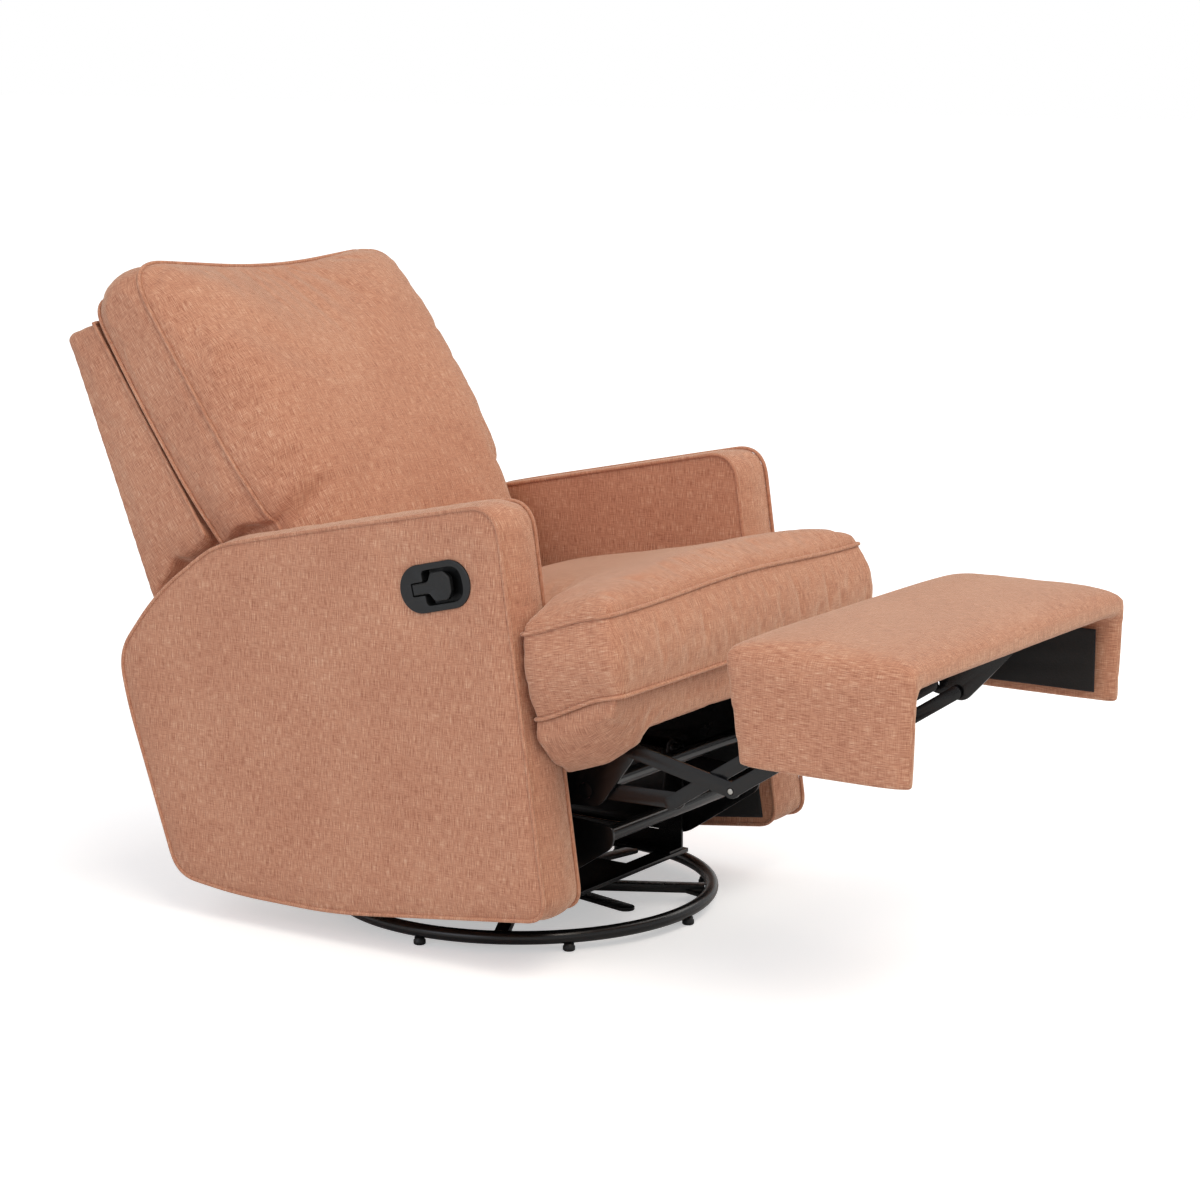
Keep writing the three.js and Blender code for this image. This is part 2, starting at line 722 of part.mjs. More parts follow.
// An upholstered panel whose boxing swells outwards between its two flat faces
function crownedPanel(shape, [low, high]) {
  const geometry = new THREE.ExtrudeGeometry(shape, {
    depth: high - low - 2 * armCrownDepth,
    bevelThickness: armCrownDepth,
    bevelSize: armCrown,
    bevelSegments: 3,
    curveSegments: 5,
  });
  geometry.applyMatrix4(sideBasis);
  geometry.translate(low + armCrownDepth, 0, 0);
  return geometry;
}

function buildArms() {
  const outlineShares = [
    [0, 0.088], [0.483, 0.013], [0.72, 0.013], [0.866, 0.032], [0.979, 0.43], [1, 0.551],
    [0.9, 0.706], [0.757, 0.833], [0.66, 0.86], [0.107, 1],
  ];
  const cornerRadius = 60;
  const radiusShares = [0.5, 1, 1, 0.57, 1, 0.67, 1.5, 1, 1.5, 0.77];
  const points = fromShares(outlineShares, armFrontY, armBottomZ, armRearY - armFrontY, armTopZ - armBottomZ);
  const shape = roundedOutline(points, radiusShares.map((share) => share * cornerRadius));
  const cupLength = bezelLength - 2 * cupMargin;
  const cupHeight = bezelHeight - 2 * cupMargin;
  sides.forEach(([sideName, side]) => {
    const panel = crownedPanel(shape, layer(side, armInner, halfWidth));
    const pocket = ovalPiece(cupLength, cupHeight, -halfWidth - overrun, -halfWidth + cupDepth);
    addPiece(`arm_${sideName}`, side < 0 ? cut(panel, pocket) : panel, cloth);
  });
}

function buildArmLiners() {
  const linerThickness = 1.2;
  const frontInset = 22;
  const lowFrontZ = 104;
  const highFrontZ = 330;
  const rearY = 60;
  const highRearZ = 190;
  const lowRearZ = 62;
  const frontSlopeShare = 0.15;
  const shape = new THREE.Shape();
  shape.moveTo(armFrontY + frontInset, lowFrontZ);
  shape.lineTo(rearY, lowRearZ);
  shape.lineTo(rearY, highRearZ);
  shape.lineTo(armFrontY + frontInset + frontSlopeShare * (highFrontZ - lowFrontZ), highFrontZ - frontInset);
  shape.closePath();
  sides.forEach(([sideName, side]) => {
    const span = layer(side, armInner - fit - linerThickness, armInner - fit);
    addPiece(`arm_liner_${sideName}`, sidePiece(shape, span), blackCloth);
  });
}

// Release handle: a dished oval bezel let into the arm, with a paddle hinged at its rear end
const paddleHinge = 34;
const paddleSideGap = 1.5;
const spindleRadius = 3;
const spindleLength = 37;

function buildHandle() {
  const outerX = -halfWidth - fit - bezelLip;
  const faceX = -halfWidth - fit;
  const cupLength = bezelLength - 2 * cupMargin - 2 * fit;
  const cupHeight = bezelHeight - 2 * cupMargin - 2 * fit;
  const flange = ovalPiece(bezelLength, bezelHeight, outerX, faceX);
  const cup = ovalPiece(cupLength, cupHeight, faceX - bezelLip / 2, faceX + cupDepth - cupWall);
  const hollow = ovalPiece(cupLength - 2 * cupWall, cupHeight - 2 * cupWall, outerX - overrun,
    faceX + cupDepth - 2 * cupWall);
  addPiece('handle_bezel', cut(join(flange, cup), hollow), blackPlastic);
  const stemHeight = 16;
  const stemLength = 28;
  const bladeLength = 38;
  const bladeHeight = cupHeight - 2 * cupWall - 2 * paddleSideGap;
  const bladeThickness = 9;
  const bladeFront = -27;
  const bevel = 6;
  const shape = new THREE.Shape();
  const stemRear = bladeFront + bladeLength + stemLength;
  shape.moveTo(bladeFront, -bladeHeight / 2 + bevel);
  shape.lineTo(bladeFront + bevel, -bladeHeight / 2);
  shape.lineTo(bladeFront + bladeLength - bevel, -bladeHeight / 2);
  shape.lineTo(bladeFront + bladeLength, -stemHeight / 2);
  shape.lineTo(stemRear, -stemHeight / 2);
  shape.lineTo(stemRear, stemHeight / 2);
  shape.lineTo(bladeFront + bladeLength, stemHeight / 2);
  shape.lineTo(bladeFront + bladeLength - bevel, bladeHeight / 2);
  shape.lineTo(bladeFront + bevel, bladeHeight / 2);
  shape.lineTo(bladeFront, bladeHeight / 2 - bevel);
  shape.closePath();
  const paddle = new THREE.ExtrudeGeometry(shape, { depth: bladeThickness, bevelEnabled: false });
  const spindle = new THREE.CylinderGeometry(spindleRadius, spindleRadius, spindleLength, 10);
  spindle.translate(paddleHinge, 0, bladeThickness / 2);
  const handle = join(paddle, spindle);
  handle.rotateZ(THREE.MathUtils.degToRad(bezelTurnDeg));
  handle.applyMatrix4(sideBasis);
  handle.translate(outerX, bezelY, bezelZ);
  addPiece('handle_paddle', handle, blackPlastic);
}

// Drive shaft: a tube across the chair with a crank at each end that pushes the footrest out
function buildDriveShaft() {
  const crankHalf = 12;
  const reach = railOuter - fit;
  const pieces = [crossRod(driveY, driveZ, driveRadius, [-reach, reach], 16)];
  sides.forEach(([, side]) => {
    const shape = barShape(driveY, driveZ, heelPivotY, heelPivotZ, crankHalf);
    pieces.push(sidePiece(shape, layer(side, crankInner, crankOuter)));
    const middle = (crankInner + crankOuter) / 2;
    pieces.push(crossRod(heelPivotY, heelPivotZ, rivetRadius, layer(side, middle, railOuter)));
  });
  addPiece('drive_shaft', join(...pieces), blackSteel);
  const bushRadius = 19;
  sides.forEach(([sideName, side]) => {
    const span = layer(side, bushOuter - bushWidth, bushOuter);
    const wall = bushRadius - driveRadius - holeClearance;
    addPiece(`drive_bush_${sideName}`, crossTube(driveY, driveZ, bushRadius, wall, span), redNylon);
  });
}

function buildFootrestLinks() {
  const foldHalf = 11;
  const crossHalf = 10;
  const toeHalf = 10;
  const pinHole = rivetRadius + holeClearance;
  sides.forEach(([sideName, side]) => {
    const foldShape = barShape(foldPivotY, foldPivotZ, elbowPivotY, elbowPivotZ, foldHalf);
    addHole(foldShape, foldPivotY, foldPivotZ, pinHole);
    const foldBar = sidePiece(foldShape, layer(side, foldInner, foldOuter));
    const foldMiddle = (foldInner + foldOuter) / 2;
    const crossPin = crossRod(crossPivotY, crossPivotZ, rivetRadius, layer(side, crossInner, foldMiddle));
    const elbowPin = crossRod(elbowPivotY, elbowPivotZ, rivetRadius, layer(side, foldMiddle, toeOuter + fit));
    addPiece(`footrest_rear_link_${sideName}`, join(foldBar, crossPin, elbowPin), blackSteel);

    const crossShape = barShape(heelPivotY, heelPivotZ, bracePivotY, bracePivotZ, crossHalf);
    addHole(crossShape, crossPivotY, crossPivotZ, pinHole);
    const crossBar = sidePiece(crossShape, layer(side, crossInner, crossOuter));
    const crossMiddle = (crossInner + crossOuter) / 2;
    const outerHalf = layer(side, crossMiddle, crossOuter + fit);
    const bracePin = crossRod(bracePivotY, bracePivotZ, rivetRadius, outerHalf);
    const heelHead = crossRod(heelPivotY, heelPivotZ, headRadius, outerHalf);
    addPiece(`footrest_cross_link_${sideName}`, join(crossBar, bracePin, heelHead), blackSteel);

    const toeShape = barShape(elbowPivotY, elbowPivotZ, boardPivotY, boardPivotZ, toeHalf);
    addHole(toeShape, elbowPivotY, elbowPivotZ, pinHole);
    const toeBar = sidePiece(toeShape, layer(side, toeInner, toeOuter));
    const boardPin = crossRod(boardPivotY, boardPivotZ, rivetRadius,
      layer(side, (toeInner + toeOuter) / 2, bracketOuter + fit));
    addPiece(`footrest_front_link_${sideName}`, join(toeBar, boardPin), blackSteel);
  });
}

// Footrest: a padded board with a padded wing hanging at each side, on two steel brackets
const boardUnderZ = footrestTopZ - footrestBoard;

function buildFootrest() {
  const depth = footrestFrontY - footrestRearY;
  const outlineShares = [
    [0, 0.9], [0.09, 1], [0.55, 1.02], [0.9, 0.99], [1, 0.88], [0.975, 0], [0.088, 0],
  ];
  const cornerRadius = 24;
  const radiusShares = [0.67, 1, 2.5, 1, 1.08, 0.58, 0.58];
  const bottomZ = footrestTopZ - footrestWingDrop;
  const points = fromShares(outlineShares, footrestRearY, bottomZ, depth, footrestWingDrop).reverse();
  const shape = roundedOutline(points, radiusShares.map((share) => share * cornerRadius).reverse());
  const edgeRound = 10;
  const block3d = sidePiece(shape, [-footrestHalfWidth, footrestHalfWidth], edgeRound, 4);
  const wingInner = footrestHalfWidth - footrestWing;
  const hollow = block(-wingInner, wingInner, footrestFrontY - overrun, footrestRearY + overrun,
    bottomZ - overrun, boardUnderZ);
  addPiece('footrest_board', cut(block3d, hollow), cloth);
  const clothThickness = 1.2;
  const clothInset = 16;
  const frontInset = 32;
  const rearInset = 38.4;
  sides.forEach(([sideName, side]) => {
    const span = layer(side, wingInner - fit - clothThickness, wingInner - fit);
    const panel = block(...span, footrestFrontY + frontInset, footrestRearY - rearInset,
      bottomZ + clothInset, boardUnderZ - clothInset);
    addPiece(`footrest_liner_${sideName}`, panel, blackCloth);
  });
}

function buildFootrestBrackets() {
  const flangeWidth = 22;
  const flangeFrontY = -720;
  const edge = 13;
  const flangeRearY = bracePivotY + edge;
  const topZ = boardUnderZ - fit;
  sides.forEach(([sideName, side]) => {
    const corners = [
      [bracePivotY + edge, bracePivotZ - edge],
      [bracePivotY + edge, topZ],
      [flangeFrontY, topZ],
      [flangeFrontY, topZ - 2 * edge],
      [boardPivotY - edge, boardPivotZ - edge],
    ];
    const radii = [edge, 0, 0, edge, edge];
    const shape = roundedOutline(corners, radii);
    addHole(shape, boardPivotY, boardPivotZ, rivetRadius + holeClearance);
    addHole(shape, bracePivotY, bracePivotZ, rivetRadius + holeClearance);
    const web = sidePiece(shape, layer(side, bracketInner, bracketOuter));
    const [flangeLow, flangeHigh] = layer(side, bracketOuter - flangeWidth, bracketOuter);
    const flange = block(flangeLow, flangeHigh, flangeFrontY, flangeRearY, topZ - plate, topZ);
    addPiece(`footrest_bracket_${sideName}`, join(web, flange), blackSteel);
  });
}

const backLean = THREE.MathUtils.degToRad(backLeanDeg);
// A point of the leaning back, from its height along the cushion and its distance behind the front piping
function backPoint(along, behind) {
  return [
    backFootY + along * Math.sin(backLean) + behind * Math.cos(backLean),
    backFootZ + along * Math.cos(backLean) - behind * Math.sin(backLean),
  ];
}

// Back cushion: boxed and crowned, wider above the arms, its top edge sagging in the middle
function buildBackCushion() {
  const lowHalf = armInner - sideClearance;
  const highHalf = lowHalf + backFlare;
  const flareStart = 213;
  const flareEnd = 226;
  const sag = 24;
  const topRound = 62;
  const footRound = 30;
  const notchRound = 10;
  const longestStep = 60;
  const corners = [
    [-lowHalf, 0], [lowHalf, 0], [lowHalf, flareStart], [highHalf, flareEnd], [highHalf, backHeight],
    [0, backHeight - sag], [-highHalf, backHeight], [-highHalf, flareEnd], [-lowHalf, flareStart],
  ];
  const radii = [footRound, footRound, notchRound, notchRound,
    topRound, topRound, topRound, notchRound, notchRound];
  const outline = dividedOutline(roundedOutline(corners, radii), longestStep);
  const cushion = paddedForm(outline, {
    thickness: backBoxing,
    crown: backCrown,
    underCrown: shellGap - fit,
    centreY: backHeight / 2,
    swell: boxingSwell,
  });
  const back = new THREE.Group();
  back.position.set(0, backFootY, backFootZ);
  back.rotation.x = Math.PI / 2 - backLean;
  recliner.add(back);
  addPiece('back_cushion', cushion, cloth, back);
}

// Outer back: a padded wedge-shaped panel, its lower corners cut back in an arc so that it clears the arms
function buildOuterBack() {
  const lowHalf = armInner - 2 * sideClearance;
  const highHalf = lowHalf + backFlare + sideClearance;
  const armReach = 282;
  const frontFace = backBoxing + shellGap;
  const topThickness = 50.4;
  const middleHeight = 207.4;
  const middleThickness = 143.6;
  const rearFootHeight = -36.9;
  const rearFootThickness = 207.3;
  const frontFootHeight = -56.9;
  const frontFootThickness = 146.9;
  const waist = 60;
  const corners = [
    backPoint(waist, frontFace),
    backPoint(frontFootHeight, frontFace + frontFootThickness),
    backPoint(rearFootHeight, frontFace + rearFootThickness),
    backPoint(middleHeight, frontFace + middleThickness),
    backPoint(outerBackHeight, frontFace + topThickness),
    backPoint(outerBackHeight, frontFace),
  ];
  const cornerRadius = 16;
  const radiusShares = [1.5, 1, 1, 3.75, 1.12, 1];
  const shape = roundedOutline(corners, radiusShares.map((share) => share * cornerRadius));
  const edgeRound = 10;
  const wedge = sidePiece(shape, [-highHalf, highHalf], edgeRound, 4);
  const clearances = sides.map(([, side]) => crossRod(backHingeY, backHingeZ, armReach,
    layer(side, lowHalf, highHalf + overrun), 72));
  addPiece('outer_back', cut(wedge, ...clearances), cloth);
}

// Hinge plates: bolted to the edges of the outer back, pivoting on pins through the side rails
function buildBackHinges() {
  const plateInner = armInner - 2 * sideClearance + fit;
  const halfBreadth = 16;
  const hingePlateLength = 190;
  const tipY = backHingeY + hingePlateLength * Math.sin(backLean);
  const tipZ = backHingeZ + hingePlateLength * Math.cos(backLean);
  const shape = barShape(backHingeY, backHingeZ, tipY, tipZ, halfBreadth);
  sides.forEach(([sideName, side]) => {
    const web = sidePiece(shape, layer(side, plateInner, plateInner + plate));
    const span = layer(side, railInner - pinStub, plateInner + plate / 2);
    const pin = crossRod(backHingeY, backHingeZ, linkPin, span);
    addPiece(`back_hinge_${sideName}`, join(web, pin), blackSteel);
  });
}

buildRing();
buildCross();
buildStopStar();
buildGlides();
buildSwivel();
buildGliderBrackets();
buildSwingLinks();
buildCarriage();
buildSideRails();
buildSeatFrame();
buildSeatCushion();
buildApron();
buildArms();
buildArmLiners();
buildHandle();
buildDriveShaft();
buildFootrestLinks();
buildFootrest();
buildFootrestBrackets();
buildBackCushion();
buildOuterBack();
buildBackHinges();

// The part's origin is on the floor, below the middle of its bounding box
const middle = new THREE.Box3().setFromObject(recliner).getCenter(new THREE.Vector3());
recliner.position.set(-middle.x, -middle.y, 0);

export default recliner;
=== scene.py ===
"""Swivel glider recliner in a woven terracotta cloth, dressed round its packed steel and timber frame.

Metres, +Z up, the sitter faces -Y and has the release handle at -X. Places are measured from the point on
the floor below the swivel's axis, which the frame's own joint gives.
"""

import json
import math

import bmesh
import bpy
import numpy as np
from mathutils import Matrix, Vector


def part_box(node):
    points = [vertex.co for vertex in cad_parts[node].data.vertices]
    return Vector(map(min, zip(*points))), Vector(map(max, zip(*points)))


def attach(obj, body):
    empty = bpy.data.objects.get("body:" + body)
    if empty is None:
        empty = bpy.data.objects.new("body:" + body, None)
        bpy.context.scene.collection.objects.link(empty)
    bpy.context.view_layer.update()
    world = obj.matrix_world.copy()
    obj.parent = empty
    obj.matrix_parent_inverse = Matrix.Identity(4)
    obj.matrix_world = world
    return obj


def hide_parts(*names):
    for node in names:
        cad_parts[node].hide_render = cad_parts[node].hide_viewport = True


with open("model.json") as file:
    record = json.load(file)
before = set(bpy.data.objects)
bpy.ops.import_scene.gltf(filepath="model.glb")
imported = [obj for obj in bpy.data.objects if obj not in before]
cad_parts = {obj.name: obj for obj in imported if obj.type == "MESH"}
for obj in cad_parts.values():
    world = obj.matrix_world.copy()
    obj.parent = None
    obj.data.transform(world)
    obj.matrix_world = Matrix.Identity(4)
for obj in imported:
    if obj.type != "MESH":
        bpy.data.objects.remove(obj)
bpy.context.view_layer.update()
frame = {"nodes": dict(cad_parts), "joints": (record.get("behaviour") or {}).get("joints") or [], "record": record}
joints = {joint["name"]: joint for joint in frame["joints"]}
swivel = np.array([*joints["seat_swivel"]["pos_m"][:2], 0.0])


# Camera
# A long lens from the sitter's right front, level with the top of the back.

camera_place = Vector(swivel) + Vector((-3.7773, -2.6521, 1.3375))
camera_heading = math.radians(33.643)
camera_drop = math.radians(10.779)
camera_lens = 94.34
camera_sensor = 36.0


def aim_camera():
    """Looks along (cos drop cos heading, cos drop sin heading, -sin drop)."""
    data = bpy.data.cameras.new("camera")
    data.lens = camera_lens
    data.sensor_width = camera_sensor
    data.clip_end = 100.0
    camera = bpy.data.objects.new("camera", data)
    bpy.context.scene.collection.objects.link(camera)
    sight = Vector((
        math.cos(camera_drop) * math.cos(camera_heading),
        math.cos(camera_drop) * math.sin(camera_heading),
        -math.sin(camera_drop),
    ))
    camera.location = camera_place
    camera.rotation_euler = sight.to_track_quat("-Z", "Y").to_euler()
    bpy.context.scene.camera = camera


aim_camera()
bpy.context.scene.view_settings.view_transform = "Standard"


# Floor, backdrop and lamps
# A white studio sweep: the floor keeps a soft shadow. Metal and plastic mirror a dimmer sky and the floor without
# its lift.

floor_size = 60.0
floor_colour = "#EBEDEF"
floor_lift = 0.44
floor_lift_far = 0.75
floor_lift_from = 1.2
floor_lift_to = 5.0
sky_light = 0.58
lamp_aim_height = 0.5
lamps = {
    "key": {"place": (-1.6, -2.5, 4.2), "size": 2.6, "power": 88.0, "colour": "#FFF3E2"},
    "fill": {"place": (-4.4, 0.6, 2.1), "size": 2.8, "power": 38.0, "colour": "#EAF0FF"},
    "rim": {"place": (2.6, -1.4, 3.0), "size": 2.2, "power": 42.0, "colour": "#FFFAF4"},
}


def linear(colour):
    """An sRGB hex colour as linear light: ((c + 0.055) / 1.055) ** 2.4, or c / 12.92 where it is dark."""
    shares = [int(colour[place:place + 2], 16) / 255 for place in (1, 3, 5)]
    light = [c / 12.92 if c <= 0.04045 else ((c + 0.055) / 1.055) ** 2.4 for c in shares]
    return (*light, 1.0)


def add(tree, kind, inputs=None, **settings):
    """A node with its settings; an input is either a value or another node's output socket."""
    node = tree.nodes.new(kind)
    for name, value in settings.items():
        setattr(node, name, value)
    for name, value in (inputs or {}).items():
        socket = node.inputs[name]
        if isinstance(value, bpy.types.NodeSocket):
            tree.links.new(value, socket)
        else:
            socket.default_value = value
    return node


def new_material(name):
    """An empty material and its node tree."""
    material = bpy.data.materials.new(name)
    material.use_nodes = True
    material.node_tree.nodes.clear()
    return material, material.node_tree


def seen_directly(tree):
    """1 for camera and glass rays, and 0 for the rays that carry light or are mirrored."""
    path = add(tree, "ShaderNodeLightPath")
    return add(tree, "ShaderNodeMath", {
        0: path.outputs["Is Camera Ray"], 1: path.outputs["Is Transmission Ray"],
    }, operation="ADD", use_clamp=True).outputs[0]


def floor_finish():
    """Matt white board; the lift is seen and not shed, so only the shadow stays grey. It grows outwards."""
    material, tree = new_material("white_studio_floor")
    matt = add(tree, "ShaderNodeBsdfDiffuse", {"Color": linear(floor_colour)})
    place = add(tree, "ShaderNodeTexCoord")
    away = add(tree, "ShaderNodeVectorMath", {0: place.outputs["Object"]}, operation="LENGTH")
    grown = add(tree, "ShaderNodeMapRange", {
        "Value": away.outputs["Value"], "From Min": floor_lift_from, "From Max": floor_lift_to,
        "To Min": floor_lift, "To Max": floor_lift_far,
    })
    lift = add(tree, "ShaderNodeMath", {0: seen_directly(tree), 1: grown.outputs[0]}, operation="MULTIPLY")
    glow = add(tree, "ShaderNodeEmission", {"Color": linear("#FFFFFF"), "Strength": lift.outputs[0]})
    both = add(tree, "ShaderNodeAddShader", {0: matt.outputs[0], 1: glow.outputs[0]})
    add(tree, "ShaderNodeOutputMaterial", {"Surface": both.outputs[0]})
    return material


def build_studio():
    """One large floor, the white world round it, and three square lamps aimed at the chair's middle."""
    half = floor_size / 2
    mesh = bpy.data.meshes.new("studio_floor")
    corners = [(-half, -half, 0), (half, -half, 0), (half, half, 0), (-half, half, 0)]
    mesh.from_pydata(corners, [], [(0, 1, 2, 3)])
    floor = bpy.data.objects.new("studio_floor", mesh)
    bpy.context.scene.collection.objects.link(floor)
    mesh.materials.append(floor_finish())
    world = bpy.data.worlds.new("studio_backdrop")
    bpy.context.scene.world = world
    world.use_nodes = True
    tree = world.node_tree
    tree.nodes.clear()
    strength = add(tree, "ShaderNodeMapRange", {
        "Value": seen_directly(tree), "To Min": sky_light, "To Max": 1.0,
    })
    sky = add(tree, "ShaderNodeBackground", {"Color": linear("#FFFFFF"), "Strength": strength.outputs[0]})
    add(tree, "ShaderNodeOutputWorld", {"Surface": sky.outputs[0]})
    middle = Vector(swivel) + Vector((0, 0, lamp_aim_height))
    for name, lamp in lamps.items():
        data = bpy.data.lights.new(name, "AREA")
        data.shape = "SQUARE"
        data.size = lamp["size"]
        data.energy = lamp["power"]
        data.color = linear(lamp["colour"])[:3]
        light = bpy.data.objects.new(name, data)
        bpy.context.scene.collection.objects.link(light)
        light.location = Vector(swivel) + Vector(lamp["place"])
        light.rotation_euler = (middle - light.location).to_track_quat("-Z", "Y").to_euler()


build_studio()


# Base ring
# Steel tube of 20 mm bent to a circle and welded, then powder coated satin black. It stands on eight
# moulded glides, pressed into its underside.

ring_radius = 0.285
ring_tube = 0.010
ring_height = 0.0213
glide_radius = 0.009
glide_height = 0.011
glide_count = 8
glide_turn = math.radians(3)
powder_colour = "#0B0B0C"
powder_peel = 0.0009
powder_gloss = {"To Min": 0.17, "To Max": 0.32}
handled_patches = 14.0
plastic_colour = "#131415"
plastic_pit = 0.0007
plastic_gloss = {"To Min": 0.36, "To Max": 0.52}


def powder_coat():
    """Satin black powder coat on mild steel: baked on, with a faint orange peel that breaks up its gloss."""
    material, tree = new_material("satin_black_powder_coat")
    place = add(tree, "ShaderNodeTexCoord")
    peel = add(tree, "ShaderNodeTexNoise", {
        "Vector": place.outputs["Object"], "Scale": 1 / powder_peel, "Detail": 2.0,
    })
    handled = add(tree, "ShaderNodeTexNoise", {
        "Vector": place.outputs["Object"], "Scale": handled_patches, "Detail": 4.0,
    })
    gloss = add(tree, "ShaderNodeMapRange", {"Value": handled.outputs[0], **powder_gloss})
    bump = add(tree, "ShaderNodeBump", {"Height": peel.outputs[0], "Distance": 0.00015, "Strength": 0.5})
    coat = add(tree, "ShaderNodeBsdfPrincipled", {
        "Base Color": linear(powder_colour), "Roughness": gloss.outputs[0], "IOR": 1.5,
        "Normal": bump.outputs[0],
    })
    add(tree, "ShaderNodeOutputMaterial", {"Surface": coat.outputs[0]})
    return material


def moulded_plastic():
    """Injection moulded polypropylene from a spark-eroded tool: fine pitted grain, low even sheen."""
    material, tree = new_material("moulded_black_polypropylene")
    place = add(tree, "ShaderNodeTexCoord")
    pits = add(tree, "ShaderNodeTexNoise", {
        "Vector": place.outputs["Object"], "Scale": 1 / plastic_pit, "Detail": 3.0,
    })
    bump = add(tree, "ShaderNodeBump", {"Height": pits.outputs[0], "Distance": 0.0002, "Strength": 0.6})
    gloss = add(tree, "ShaderNodeMapRange", {"Value": pits.outputs[0], **plastic_gloss})
    moulding = add(tree, "ShaderNodeBsdfPrincipled", {
        "Base Color": linear(plastic_colour), "Roughness": gloss.outputs[0], "IOR": 1.49,
        "Normal": bump.outputs[0],
    })
    add(tree, "ShaderNodeOutputMaterial", {"Surface": moulding.outputs[0]})
    return material


black_steel = powder_coat()
black_plastic = moulded_plastic()


def finished(name, mesh, material, body, smooth=True):
    """Links a finished mesh as a piece that rides on a body and takes its finish from a slot."""
    piece = bpy.data.objects.new(name, mesh)
    bpy.context.scene.collection.objects.link(piece)
    mesh.materials.clear()
    mesh.materials.append(material)
    mesh.polygons.foreach_set("use_smooth", np.full(len(mesh.polygons), smooth))
    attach(piece, body)
    return piece


def closed_skin(name, rings, first, last):
    """Rings of points from one pole to the other, joined by four-sided faces, with a fan at each pole."""
    rows, count = rings.shape[:2]
    points = np.vstack([first, rings.reshape(-1, 3), last])
    here = np.arange(count)
    beside = np.roll(here, -1)
    low = 1 + np.arange(rows - 1)[:, None] * count
    bands = np.stack([low + here, low + beside, low + count + beside, low + count + here], axis=-1)
    top = 1 + (rows - 1) * count
    first_fan = np.stack([np.zeros(count, int), 1 + beside, 1 + here], axis=-1)
    last_fan = np.stack([top + here, top + beside, np.full(count, len(points) - 1)], axis=-1)
    faces = first_fan.tolist() + bands.reshape(-1, 4).tolist() + last_fan.tolist()
    mesh = bpy.data.meshes.new(name)
    mesh.from_pydata(points.tolist(), [], faces)
    return mesh


def closed_tube(name, rings):
    """Rings of points round a closed path, each ring joined to the next and the last to the first."""
    rows, count = rings.shape[:2]
    here = np.arange(count)
    beside = np.roll(here, -1)
    low = np.arange(rows)[:, None] * count
    high = np.roll(low, -1, axis=0)
    bands = np.stack([low + here, low + beside, high + beside, high + here], axis=-1)
    mesh = bpy.data.meshes.new(name)
    mesh.from_pydata(rings.reshape(-1, 3).tolist(), [], bands.reshape(-1, 4).tolist())
    return mesh


def turned(name, profile, middle, sides=48):
    """A profile of (radius, height) pairs spun round the upright line through middle, closed at both ends."""
    angle = np.linspace(0, 2 * np.pi, sides, endpoint=False)
    radius, height = np.array(profile).T
    rings = np.stack([
        middle[0] + radius[:, None] * np.cos(angle),
        middle[1] + radius[:, None] * np.sin(angle),
        middle[2] + np.repeat(height[:, None], sides, axis=1),
    ], axis=-1)
    first = np.array([middle[0], middle[1], middle[2] + height[0]])
    last = np.array([middle[0], middle[1], middle[2] + height[-1]])
    return closed_skin(name, rings, first, last)


def build_ring():
    """Torus: point = (R + r cos b) (cos a, sin a), height + r sin b."""
    around = np.linspace(0, 2 * np.pi, 180, endpoint=False)[:, None]
    tube = np.linspace(0, 2 * np.pi, 24, endpoint=False)[None, :]
    reach = ring_radius + ring_tube * np.cos(tube)
    rings = np.stack([
        swivel[0] + reach * np.cos(around),
        swivel[1] + reach * np.sin(around),
        ring_height + ring_tube * np.sin(tube) + 0 * around,
    ], axis=-1)[:, ::-1]
    name = "base_ring_tube"
    ring = finished(name, closed_tube(name, rings), black_steel, "base")
    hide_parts("base_ring")


def build_glides():
    """Turned button: a flat foot, a rounded rim and a straight stem."""
    rim = 0.0015
    profile = [
        (glide_radius - 2 * rim, 0), (glide_radius - rim, 0.0001), (glide_radius, rim),
        (glide_radius, 0.6 * glide_height), (glide_radius - rim, 0.75 * glide_height),
        (glide_radius - rim, glide_height),
    ]
    for glide in range(glide_count):
        angle = glide_turn + 2 * math.pi * glide / glide_count
        middle = swivel + ring_radius * np.array([math.cos(angle), math.sin(angle), 0])
        name = f"glide_button_{glide + 1}"
        button = finished(name, turned(name, profile, middle, 24), black_plastic, "base")
        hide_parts(f"floor_glide_{glide + 1}")


build_ring()
build_glides()


# Pressed and welded steel
# Laser-cut plate and tube: spokes, stop star, swivel plate, glider brackets, swing links, carriage, side
# rails, footrest links and hinges. Their cut edges are broken by tumbling before they are powder coated.

edge_break = 0.0007
bevelled_from = math.radians(35)
shaded_sharp_from = math.radians(32)


def eased_copy(node, name, edge):
    """The node's own triangles, merged and with flat faces restored, and every sharp edge rounded over."""
    mesh = frame["nodes"][node].data.copy()
    mesh.name = name
    work = bmesh.new()
    work.from_mesh(mesh)
    bmesh.ops.remove_doubles(work, verts=work.verts, dist=1e-6)
    bmesh.ops.dissolve_limit(work, angle_limit=math.radians(1), verts=work.verts, edges=work.edges)
    sharp = [e for e in work.edges if len(e.link_faces) == 2 and e.calc_face_angle() > bevelled_from]
    bmesh.ops.bevel(work, geom=sharp, offset=edge, offset_type="OFFSET", segments=2, profile=0.6,
                    affect="EDGES", clamp_overlap=True)
    bmesh.ops.triangulate(work, faces=[f for f in work.faces if len(f.verts) > 4])
    work.to_mesh(mesh)
    work.free()
    return mesh


